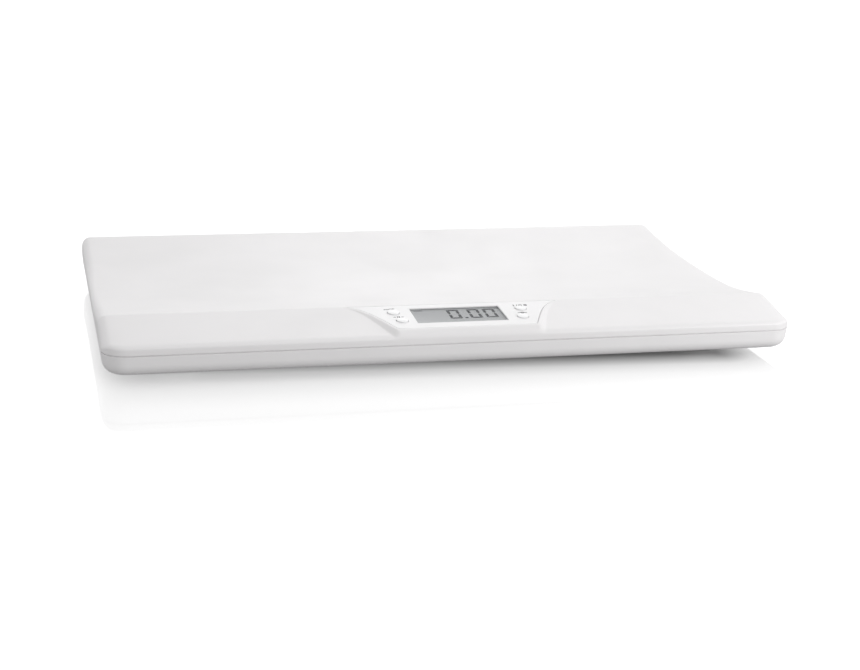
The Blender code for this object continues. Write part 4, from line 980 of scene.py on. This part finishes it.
class BABYSCALE_OT_stage(bpy.types.Operator):
    """Camera, soft studio light and white floor"""

    bl_idname = "baby_scale.stage"
    bl_label = "Stage"

    def execute(self, context):
        scene = context.scene
        stage = scene.baby_scale_stage
        scene.view_settings.view_transform = "Standard"
        self.add_camera(scene)
        self.add_sky(scene, stage)
        self.add_lamp("key_light", KEY_PLACE, REAR_LAMP_SIZE, stage.key)
        self.add_lamp("rear_light", REAR_PLACE, REAR_LAMP_SIZE, stage.rear)
        self.add_lamp("fill_light", FILL_PLACE, FRONT_LAMP_SIZE, stage.fill)
        floor = bpy.data.objects.new("floor", mesh_of("floor", lambda shape: bmesh.ops.create_grid(
            shape, x_segments=8, y_segments=8, size=FLOOR_SIZE
        )))
        scene.collection.objects.link(floor)
        floor.data.materials.append(white_floor())
        # Turning the floor turns the field of its painted shadow
        floor.rotation_euler.z = -math.radians(stage.turn)
        return {"FINISHED"}

    def add_camera(self, scene):
        """Long lens at the front left, looking down a little, with a slight roll."""
        turn, tilt, roll = 0.25737, 0.28576, -0.03464
        look = Vector((math.sin(turn) * math.cos(tilt), math.cos(turn) * math.cos(tilt), -math.sin(tilt)))
        flat = Vector((math.cos(turn), -math.sin(turn), 0.0))
        below = look.cross(flat)
        right = flat * math.cos(roll) + below * math.sin(roll)
        down = below * math.cos(roll) - flat * math.sin(roll)
        camera = bpy.data.objects.new("camera", bpy.data.cameras.new("camera"))
        scene.collection.objects.link(camera)
        camera.matrix_world = Matrix.Translation(CAMERA_PLACE) @ Matrix(
            (right, -down, -look)
        ).transposed().to_4x4()
        camera.data.sensor_width = 36.0
        camera.data.lens = 1604.6 / 860 * 36.0
        camera.data.clip_start = 0.01
        scene.camera = camera

    def add_sky(self, scene, stage):
        """Even light all round, which the camera and gloss see as plain white."""
        world = bpy.data.worlds.new("studio")
        world.use_nodes = True
        tree = world.node_tree
        back = tree.nodes["Background"]
        path = add_node(tree, "ShaderNodeLightPath")
        seen = maths(tree, "MAXIMUM", path.outputs["Is Camera Ray"], path.outputs["Is Glossy Ray"])
        seen = maths(tree, "MAXIMUM", seen, path.outputs["Is Transmission Ray"])
        level = maths(tree, "MULTIPLY_ADD", seen, 1.0 - stage.world, stage.world)
        tree.links.new(level, back.inputs["Strength"])
        back.inputs["Color"].default_value = (1, 1, 1, 1)
        scene.world = world

    def add_lamp(self, name, spot, size, power):
        data = bpy.data.lights.new(name, "AREA")
        data.shape = "RECTANGLE"
        data.size = size
        data.size_y = size
        data.energy = power
        lamp = bpy.data.objects.new(name, data)
        bpy.context.scene.collection.objects.link(lamp)
        lamp.location = spot
        lamp.rotation_mode = "QUATERNION"
        lamp.rotation_quaternion = (-Vector(spot)).to_track_quat("-Z", "Y")


class BABYSCALE_OT_tray(bpy.types.Operator):
    """Upper shell: cradle, ridge, fascia and raised console, with the panel's recess and openings"""

    bl_idname = "baby_scale.tray"
    bl_label = "Tray"

    def execute(self, context):
        s, c = sizes(), console()
        form = tray_form()
        outer = form.body("tray_outer", 0.0, form.bottom, s.edge_round)
        inner = tray_form(fine=False).body("tray_hollow", s.wall, s.underside)
        floor = -c.panel_thick - GAP
        recess = on_console(mesh_of("panel_recess", lambda shape: prism(
            shape, flared(lambda more: form.panel_outline(-GAP - more), floor, OVERRUN, c.panel_rim)
        )))
        openings = console_openings("console_openings", 0.0026 + GAP, -s.wall - OVERRUN, c.panel_rim)
        mesh = shaped("tray_moulding", outer, removed=[inner, recess, openings])
        place_piece("tray_moulding", mesh, shell_plastic(), "body", ["tray_shell"])
        return {"FINISHED"}


class BABYSCALE_OT_base(bpy.types.Operator):
    """Lower shell: rounded edge, flat floor, foot wells, screw posts and the battery bay"""

    bl_idname = "baby_scale.base"
    bl_label = "Base"

    def execute(self, context):
        mesh = shaped("base_moulding", mesh_of("base_outer", self.add_shell), self.joined(), self.removed())
        place_piece("base_moulding", mesh, shell_plastic(), "body", ["base_shell"])
        return {"FINISHED"}

    def add_shell(self, shape):
        s = sizes()
        form = tray_form()
        top = s.parting - s.groove / 2
        rings = [
            (
                s.base_draft + s.base_round * (1 - math.sin(turn)),
                s.underside + s.base_round * (1 - math.cos(turn)),
            )
            for turn in (math.radians(90 * at / 12) for at in range(13))
        ]
        rings += [
            (s.edge_round * (1 - math.cos(turn)), top - s.edge_round * (1 - math.sin(turn)))
            for turn in (math.radians(30 * at) for at in range(4))
        ]
        lip = form.bottom - GAP
        rings += [(s.groove_depth, top), (s.groove_depth, lip), (s.wall, lip)]
        inner = s.base_round - s.wall
        rings += [
            (
                s.base_draft + s.wall + inner * (1 - math.sin(turn)),
                s.underside + s.wall + inner * (1 - math.cos(turn)),
            )
            for turn in (math.radians(90 * at / 4) for at in range(4, -1, -1))
        ]
        prism(shape, [
            (form.base_outline(inset), height) for inset, height in rings
        ])

    def bay(self, extra_x, extra_y, low, high, left=0.0):
        s = sizes()
        return (
            (-s.pocket_x - extra_x - left, -s.battery_y - s.pocket_y - extra_y, low),
            (s.pocket_x + extra_x, -s.battery_y + s.pocket_y + extra_y, high),
        )

    def joined(self):
        s = sizes()
        door_top = s.underside + s.door_thick
        roof = door_top + 2 * GAP + 0.0105
        posts = mesh_of("screw_posts", lambda shape: [
            prism(shape, [(circle(spot, 0.0052, 24), s.underside + EMBED), (circle(spot, 0.0052, 24), 0.0165)])
            for spot in screw_spots()
        ])
        pocket = mesh_of("pocket_body", lambda shape: box(
            shape, *self.bay(0.0016, 0.0016, s.underside + EMBED, roof + 0.0016)
        ))
        bed = mesh_of("door_bed", lambda shape: box(
            shape, *self.bay(0.0066, 0.0092, s.underside + EMBED, door_top + GAP + 0.0016, s.door_travel)
        ))
        return [posts, pocket, bed]

    def removed(self):
        s = sizes()
        door_top = s.underside + s.door_thick
        well = s.foot_diameter / 2 + 0.0006
        wells = mesh_of("foot_wells", lambda shape: [
            prism(shape, drilled((x, y), well, s.underside + s.wall + OVERRUN, 0.0004, 72))
            for _, x, y in foot_spots()
        ])
        heads = mesh_of("screw_counterbores", lambda shape: [
            prism(shape, drilled(spot, s.screw_head / 2 + GAP, 0.0149, 0.0003, 32)) for spot in screw_spots()
        ])
        shafts = mesh_of("screw_holes", lambda shape: [
            prism(shape, [(circle(spot, 0.0016, 20), s.underside), (circle(spot, 0.0016, 20), 0.0185)])
            for spot in screw_spots()
        ])
        room = mesh_of("pocket_room", lambda shape: box(
            shape, *self.bay(0.0, 0.0, s.underside - OVERRUN, door_top + 2 * GAP + 0.0105)
        ))
        return [wells, heads, shafts, room, self.door_room(), self.tab_room(True), self.tab_room(False)]

    def door_room(self):
        s = sizes()
        low, high = self.bay(0.0050 + GAP, 0.0040 + GAP, s.underside, 0.0, s.door_travel + GAP)
        centre = ((low[0] + high[0]) / 2, (low[1] + high[1]) / 2)
        half = ((high[0] - low[0]) / 2, (high[1] - low[1]) / 2)
        rim = 0.00025
        return mesh_of("door_room", lambda shape: prism(shape, [
            (rounded_rectangle(centre, half[0] + more, half[1] + more, 0.0013 + more), height)
            for more, height in (
                (rim, s.underside - OVERRUN), (rim, s.underside), (0.0, s.underside + rim),
                (0.0, s.underside + s.door_thick + GAP),
            )
        ]))

    def tab_room(self, slot):
        """The slots that hold the door's tabs, or the notches in the floor that let the tabs out."""
        s = sizes()
        door_top = s.underside + s.door_thick

        def build(shape):
            for side in (-1, 1):
                for start in TAB_STARTS:
                    inner = -s.battery_y + side * (s.pocket_y + 0.0040 - OVERRUN)
                    outer = inner + side * (OVERRUN + TAB_REACH + (GAP if slot else GAP / 2))
                    stop = start + TAB_LONG + GAP if slot else start - s.door_travel + TAB_LONG + GAP
                    low = door_top - TAB_THICK - GAP if slot else s.underside - OVERRUN
                    high = door_top + GAP if slot else door_top - TAB_THICK / 2
                    near = start - s.door_travel - (2 * GAP if slot else GAP)
                    box(shape, (near, min(inner, outer), low), (stop, max(inner, outer), high))
        return mesh_of("tab_slots" if slot else "tab_notches", build)


TAB_STARTS = (-0.0200, 0.0160)
TAB_LONG = 0.0050
TAB_REACH = 0.0020
TAB_THICK = 0.0008


def screw_spots():
    form = tray_form()
    end, back = form.end, form.back
    return [
        (side * x, y)
        for x in (end * 0.3564, end - 0.0280) for y in (0.0260 - back, back - 0.0260) for side in (1, -1)
    ]


def foot_spots():
    s, form = sizes(), tray_form()
    x, y = form.end - s.foot_end, form.back - s.foot_side
    return [("front_left", -x, -y), ("front_right", x, -y), ("back_left", -x, y), ("back_right", x, y)]


def drilled(spot, radius, high, rim, sides):
    """Rings of a hole from the underside up, with a rounded mouth."""
    foot = sizes().underside
    mouth = [(radius + rim * (1 - math.sin(turn)), foot + rim * (1 - math.cos(turn)))
             for turn in (math.radians(30 * at) for at in range(4))]
    rings = [(circle(spot, radius + rim, sides), foot - OVERRUN)]
    rings += [(circle(spot, wide, sides), height) for wide, height in mouth]
    return rings + [(circle(spot, radius, sides), high)]


class BABYSCALE_OT_panel(bpy.types.Operator):
    """Flat console panel with its printed signs"""

    bl_idname = "baby_scale.panel_insert"
    bl_label = "Console panel"

    def execute(self, context):
        c = console()
        form = tray_form()
        rim, thick = c.panel_rim, c.panel_thick
        rings = [(form.panel_outline(rim), -thick), (form.panel_outline(0.0), -thick + rim)]
        rings += [
            (form.panel_outline(rim * (1 - math.cos(turn))), -rim * (1 - math.sin(turn)))
            for turn in (math.radians(30 * at) for at in range(4))
        ]
        plate = on_console(mesh_of("panel_plate", lambda shape: prism(shape, rings)))
        openings = console_openings("panel_openings", 0.0, -thick - OVERRUN, rim)
        mesh = shaped("panel_insert", plate, removed=[openings])
        place_piece("panel_insert", mesh, panel_plastic(), "body", ["console_panel"])
        signs = on_console(mesh_of("panel_signs", add_signs))
        place_piece("panel_signs", signs, dark_ink("sign_ink", tuple(colours().print)), "body")
        return {"FINISHED"}


def flat_shape(shape, outline, low=0.0, thick=0.00003):
    """A thin printed shape, standing on a height."""
    prism(shape, [(outline, low), (outline, low + thick)])


def bar(x, y, wide, tall):
    left, right, low, high = x - wide / 2, x + wide / 2, y - tall / 2, y + tall / 2
    return [(left, low), (right, low), (right, high), (left, high)]


def arrow_head(x, y, size, way):
    points = [(x + way * size / 2, y), (x - way * size / 2, y + size / 2), (x - way * size / 2, y - size / 2)]
    return points if way > 0 else list(reversed(points))


def ring_part(shape, x, y, radius, stroke, start, stop, steps=14):
    """Part of a ring, made of short flat blocks, from one angle in degrees to another."""
    for at in range(steps):
        turns = [math.radians(start + (stop - start) * (at + more) / steps) for more in (0, 1)]
        inner = [(x + (radius - stroke) * math.cos(t), y + (radius - stroke) * math.sin(t)) for t in turns]
        outer = [(x + radius * math.cos(t), y + radius * math.sin(t)) for t in turns]
        flat_shape(shape, [inner[0], outer[0], outer[1], inner[1]])


def add_signs(shape):
    """Generic signs above the buttons: change of unit, hold, on and off, and back to nought."""
    stroke = 0.00092
    tall = 0.0031
    x, y = -0.0539, -0.0088
    for way in (-1, 1):
        flat_shape(shape, bar(x + way * 0.0017, y + way * 0.0006, 0.0034, stroke))
        flat_shape(shape, arrow_head(x + way * 0.0039, y + way * 0.0005, 0.0018, way))
    x, y = -0.0500, -0.0262
    for way in (-1, 1):
        flat_shape(shape, bar(x + way * 0.0007, y, 0.0008, tall))
        flat_shape(shape, bar(x + way * 0.0030, y, 0.0022, stroke))
    x, y = 0.0530, -0.0098
    flat_shape(shape, bar(x - 0.0050, y, 0.0008, tall))
    low, high = y - tall / 2, y + tall / 2
    flat_shape(shape, [(x - 0.0031, low), (x - 0.0025, low), (x - 0.0016, high), (x - 0.0022, high)])
    ring_part(shape, x + 0.0006, y, tall / 2, stroke, 0, 360, 20)
    ring_part(shape, x + 0.0048, y, tall / 2, stroke, 120, 420, 18)
    flat_shape(shape, bar(x + 0.0048, y + tall / 4, stroke, tall / 2))
    x, y = 0.0505, -0.0262
    ring_part(shape, x, y, tall / 2, stroke, 0, 360, 20)
    for way in (-1, 1):
        flat_shape(shape, bar(x + way * 0.0031, y, 0.0014, stroke))
        flat_shape(shape, arrow_head(x + way * 0.0019, y, 0.0012, -way))


class BABYSCALE_OT_display(bpy.types.Operator):
    """Display: window, grey ground, figures and small marks"""

    bl_idname = "baby_scale.display"
    bl_label = "Display"

    def execute(self, context):
        c = console()
        rim = 0.00012
        floor = -c.panel_thick - GAP
        lens = on_console(mesh_of("window_lens", lambda shape: prism(shape, [
            (window_outline(-GAP - rim), floor), (window_outline(-GAP), floor + rim),
            (window_outline(-GAP), -c.window_sunk - rim),
            (window_outline(-GAP - rim * 0.3), -c.window_sunk - rim * 0.3),
            (window_outline(-GAP - rim), -c.window_sunk),
        ])))
        place_piece("window_lens", lens, clear_window(), "body", ["display_window"])
        finish_nodes(display_ground(), "lcd_cell")
        figures = on_console(mesh_of("display_figures", self.add_figures))
        ink = dark_ink("figure_black", tuple(colours().figure))
        place_piece("display_figures", figures, ink, "body")
        return {"FINISHED"}

    def add_figures(self, shape):
        c = console()
        low = -c.panel_thick - 2 * GAP
        top = -0.0107
        for x in (-0.0035, 0.0130, 0.0259):
            self.add_nought(shape, x, top - c.digit_tall / 2, low)
        stroke = c.digit_stroke
        flat_shape(shape, bar(0.0047, top - c.digit_tall + stroke / 2, stroke * 1.1, stroke), low)
        for at in range(5):
            flat_shape(shape, bar(-0.0336 + 0.00145 * at, -0.0107, 0.00105, 0.0012), low)
        flat_shape(shape, arrow_head(0.0325, -0.0104, 0.0016, 1), low)
        flat_shape(shape, bar(0.0343, -0.0104, 0.0014, 0.0012), low)

    def add_nought(self, shape, x, y, low):
        """Six strokes of a seven-stroke figure, with mitred ends and thin gaps between them."""
        c = console()
        half_x, half_y, stroke, gap = c.digit_wide / 2, c.digit_tall / 2, c.digit_stroke, 0.00028
        for way in (-1, 1):
            edge = y + way * half_y
            inner = edge - way * stroke
            points = [
                (x - half_x + gap, edge), (x - half_x + stroke + gap, inner),
                (x + half_x - stroke - gap, inner), (x + half_x - gap, edge),
            ]
            flat_shape(shape, points if way < 0 else list(reversed(points)), low)
        for side in (-1, 1):
            for way in (-1, 1):
                edge = x + side * half_x
                inner = edge - side * stroke
                middle = x + side * (half_x - stroke / 2)
                points = [
                    (edge, y + way * (half_y - gap)), (inner, y + way * (half_y - stroke - gap)),
                    (inner, y + way * (stroke / 2 + gap)), (middle, y + way * gap),
                    (edge, y + way * (stroke / 2 + gap)),
                ]
                flat_shape(shape, points if side * way > 0 else list(reversed(points)), low)


class BABYSCALE_OT_buttons(bpy.types.Operator):
    """Four round button caps with the plungers of their switches"""

    bl_idname = "baby_scale.buttons"
    bl_label = "Buttons"

    def execute(self, context):
        c, s = console(), sizes()
        radius, proud, soft = c.button_diameter / 2, c.button_proud, c.button_round
        under = -s.wall - 2 * GAP
        profile = [(0, proud), (radius * 0.35, proud - 0.00003), (radius * 0.7, proud - 0.00012)]
        profile += [(x, y) for x, y in arc((radius - soft, proud - soft - 0.0002), soft, 80, 0, 5)]
        profile += [
            (radius, under), (radius + 0.0014, under),
            (radius + 0.0014, under - 0.0010), (0.0018, under - 0.0010),
            (0.0018, under - 0.0026), (0, under - 0.0026),
        ]
        for name, spot in button_spots().items():
            mesh = turned(f"{name}_cap", profile, 48)
            mesh.transform(Matrix.Translation((*spot, 0.0)))
            place_piece(
                f"{name}_cap", on_console(mesh), cap_plastic(), f"{name}_key", [f"{name}_button"]
            )
        stem = plastic("plunger_black", (0.03, 0.03, 0.032), (0.022, 0.022, 0.024), 0.5)
        finish_nodes(stem, *(f"switch_plunger_{name}" for name in button_spots()))
        return {"FINISHED"}


class BABYSCALE_OT_feet(bpy.types.Operator):
    """Four foot cups with ringed rubber pads"""

    bl_idname = "baby_scale.feet"
    bl_label = "Feet"

    def execute(self, context):
        s = sizes()
        radius, pad = s.foot_diameter / 2, s.pad_diameter / 2
        foot = s.pad_height - 0.0010
        shoulder = s.underside + s.wall / 2
        cell_low = s.underside + s.wall + 0.0016 + GAP
        soft = 0.0009
        cup = [(0, cell_low - GAP), (0.0045, cell_low - GAP), (0.0045, shoulder + soft)]
        cup += arc((radius - soft, shoulder), soft, 90, 0, 4)
        cup += arc((radius - soft, foot + soft), soft, 0, -90, 5)
        cup += [(pad + GAP, foot), (pad + GAP, s.pad_height + GAP), (0, s.pad_height + GAP)]
        soft = 0.0005
        rubber = [(0, s.pad_height), (pad, s.pad_height)] + arc((pad - soft, soft), soft, 0, -90, 4)
        for ring in range(5):
            edge = pad - 0.0022 - 0.0026 * ring
            rubber += [(edge, 0.0), (edge - 0.0003, 0.0004), (edge - 0.0009, 0.0004), (edge - 0.0012, 0.0)]
        rubber.append((0, 0.0))
        tone = tuple(colours().rubber)
        dark = plastic("pad_rubber", tone, tuple(0.8 * part for part in tone), 0.72, 0.12, 900.0, 0.00008)
        for name, x, y in foot_spots():
            place_piece(
                f"cup_{name}", turned(f"cup_{name}", cup, 72), shell_plastic(), "body",
                [f"foot_cup_{name}"], (x, y, 0),
            )
            place_piece(
                f"pad_{name}", turned(f"pad_{name}", rubber, 64), dark, "body",
                [f"foot_pad_{name}"], (x, y, 0),
            )
        return {"FINISHED"}


class BABYSCALE_OT_door(bpy.types.Operator):
    """Sliding battery door with its tabs, grip and arrow"""

    bl_idname = "baby_scale.door"
    bl_label = "Battery door"

    def execute(self, context):
        s = sizes()
        half_x, half_y = s.pocket_x + 0.0050, s.pocket_y + 0.0040
        centre = (0.0, -s.battery_y)
        top, foot, soft = s.underside + s.door_thick, s.underside, 0.00025
        plate = mesh_of("door_plate", lambda shape: prism(shape, [
            (rounded_rectangle(centre, half_x - inset, half_y - inset, 0.0010 - inset), height)
            for inset, height in (
                (soft, foot), (soft * 0.5, foot + soft * 0.13), (soft * 0.13, foot + soft * 0.5),
                (0.0, foot + soft), (0.0, top),
            )
        ]))
        tabs = mesh_of("door_tabs", lambda shape: [
            box(
                shape,
                (start, centre[1] + (half_y - OVERRUN if side > 0 else -half_y - TAB_REACH), top - TAB_THICK),
                (start + TAB_LONG, centre[1] + (half_y + TAB_REACH if side > 0 else OVERRUN - half_y), top),
            )
            for side in (-1, 1) for start in TAB_STARTS
        ])
        grip_steps = (
            (0.00025, foot - OVERRUN), (0.00025, foot), (0.0, foot + 0.0003), (-0.00008, foot + 0.0006)
        )
        grip_rows = [(0.0056 - half_x + 0.0024 * row, centre[1]) for row in range(4)]
        grip = mesh_of("door_grip", lambda shape: [
            prism(shape, [
                (rounded_rectangle(spot, 0.0006 + more, 0.0120 + more, 0.0005), height)
                for more, height in grip_steps
            ])
            for spot in grip_rows
        ])
        arrow = mesh_of("door_arrow", lambda shape: prism(shape, [
            (arrow_head(-0.0085, centre[1], size, -1), height)
            for size, height in ((0.0064, foot - OVERRUN), (0.0064, foot), (0.0058, foot + 0.0004))
        ]))
        mesh = shaped("bay_door", plate, [tabs], [grip, arrow])
        place_piece("bay_door", mesh, shell_plastic(), "door", ["battery_door"])
        return {"FINISHED"}


class BABYSCALE_OT_screws(bpy.types.Operator):
    """Eight case screws with crossed recesses, and the two screws of the board"""

    bl_idname = "baby_scale.screws"
    bl_label = "Screws"

    def execute(self, context):
        steel = metal("screw_steel", (0.62, 0.62, 0.63), (0.48, 0.48, 0.50), 0.26)
        head, top = sizes().screw_head / 2, 0.0146
        profile = [(0, top + 0.0110), (0.0004, top + 0.0109), (0.0013, top + 0.0088)]
        for turn in range(8):
            high = top + 0.0085 - 0.0010 * turn
            profile += [(0.0010, high), (0.0013, high - 0.0004), (0.0013, high - 0.0006)]
        profile += [(0.0013, top), (head - 0.0002, top), (head, top - 0.0002), (head, top - 0.0008)]
        profile += arc((head - 0.0010, top - 0.0009), 0.0010, 0, -80, 5) + [(0, top - 0.0019)]
        cross = mesh_of("screw_cross", lambda shape: [
            prism(shape, [
                (bar(0, 0, 0.0007 if flip else 0.0034, 0.0034 if flip else 0.0007), top - 0.0030),
                (bar(0, 0, 0.0004 if flip else 0.0016, 0.0016 if flip else 0.0004), top - 0.0006),
            ])
            for flip in (True, False)
        ])
        mesh = shaped("case_screw", turned("screw_blank", profile, 32), removed=[cross])
        for number, (x, y) in enumerate(screw_spots(), 1):
            place_piece(
                f"screw_{number}", mesh, steel, "body", [f"case_screw_{number}"], (x, y, 0)
            )
        finish_nodes(steel, "board_screw_left", "board_screw_right")
        return {"FINISHED"}


class BABYSCALE_OT_inside(bpy.types.Operator):
    """Finishes of the parts inside: board, switches, load cells, leads, cells and contacts"""

    bl_idname = "baby_scale.inside"
    bl_label = "Inside parts"

    def execute(self, context):
        tint = colours()
        lead = tuple(tint.lead)
        finish_nodes(circuit_board(), "main_board")
        cells = [name for name in NODES if name.startswith("battery_") and name[8:].isdigit()]
        finish_nodes(battery_skin(), *cells)
        plates = [
            name for name in NODES
            if name.startswith(("load_cell_front_", "load_cell_back_", "tact_switch_"))
        ]
        finish_nodes(metal("sprung_steel", (0.60, 0.60, 0.61), (0.45, 0.45, 0.46), 0.28), *plates)
        finish_nodes(
            metal("plated_contact", (0.72, 0.71, 0.68), (0.58, 0.57, 0.55), 0.22),
            *(name for name in NODES if name.startswith(("battery_contact_", "battery_spring_"))),
        )
        finish_nodes(
            plastic("lead_sleeve", lead, tuple(0.85 * part for part in lead), 0.5),
            *(name for name in NODES if name.startswith("load_cell_lead_")),
        )
        finish_nodes(
            plastic("chip_black", (0.028, 0.028, 0.03), (0.02, 0.02, 0.022), 0.55, grain=5200.0),
            "control_chip", "buzzer",
        )
        finish_nodes(plastic("frame_white", (0.80, 0.80, 0.79), (0.76, 0.76, 0.75), 0.5), "lcd_frame")
        finish_nodes(
            plastic("elastomer", (0.55, 0.30, 0.33), (0.48, 0.26, 0.29), 0.7, grain=3000.0),
            "elastomer_connector",
        )
        return {"FINISHED"}


OPERATORS = (
    BABYSCALE_OT_stage,
    BABYSCALE_OT_tray,
    BABYSCALE_OT_base,
    BABYSCALE_OT_panel,
    BABYSCALE_OT_display,
    BABYSCALE_OT_buttons,
    BABYSCALE_OT_feet,
    BABYSCALE_OT_door,
    BABYSCALE_OT_screws,
    BABYSCALE_OT_inside,
)


class BABYSCALE_PT_sidebar(bpy.types.Panel):
    """Lists the steps that build the scale"""

    bl_idname = "BABYSCALE_PT_sidebar"
    bl_label = "Baby Weighing Scale"
    bl_space_type = "VIEW_3D"
    bl_region_type = "UI"
    bl_category = "Baby Scale"

    def draw(self, context):
        column = self.layout.column(align=True)
        for operator in OPERATORS:
            column.operator(operator.bl_idname, text=operator.bl_label)


GROUPS = {
    "baby_scale_sizes": BabyScaleSizes,
    "baby_scale_console": BabyScaleConsole,
    "baby_scale_colours": BabyScaleColours,
    "baby_scale_stage": BabyScaleStage,
}


def register():
    for made in (*GROUPS.values(), *OPERATORS, BABYSCALE_PT_sidebar):
        bpy.utils.register_class(made)
    for name, made in GROUPS.items():
        setattr(bpy.types.Scene, name, PointerProperty(type=made))


def unregister():
    for name in GROUPS:
        delattr(bpy.types.Scene, name)
    for made in reversed((*GROUPS.values(), *OPERATORS, BABYSCALE_PT_sidebar)):
        bpy.utils.unregister_class(made)


def main():
    register()
    for operator in OPERATORS:
        group, name = operator.bl_idname.split(".")
        getattr(getattr(bpy.ops, group), name)()


if __name__ == "__main__":
    main()
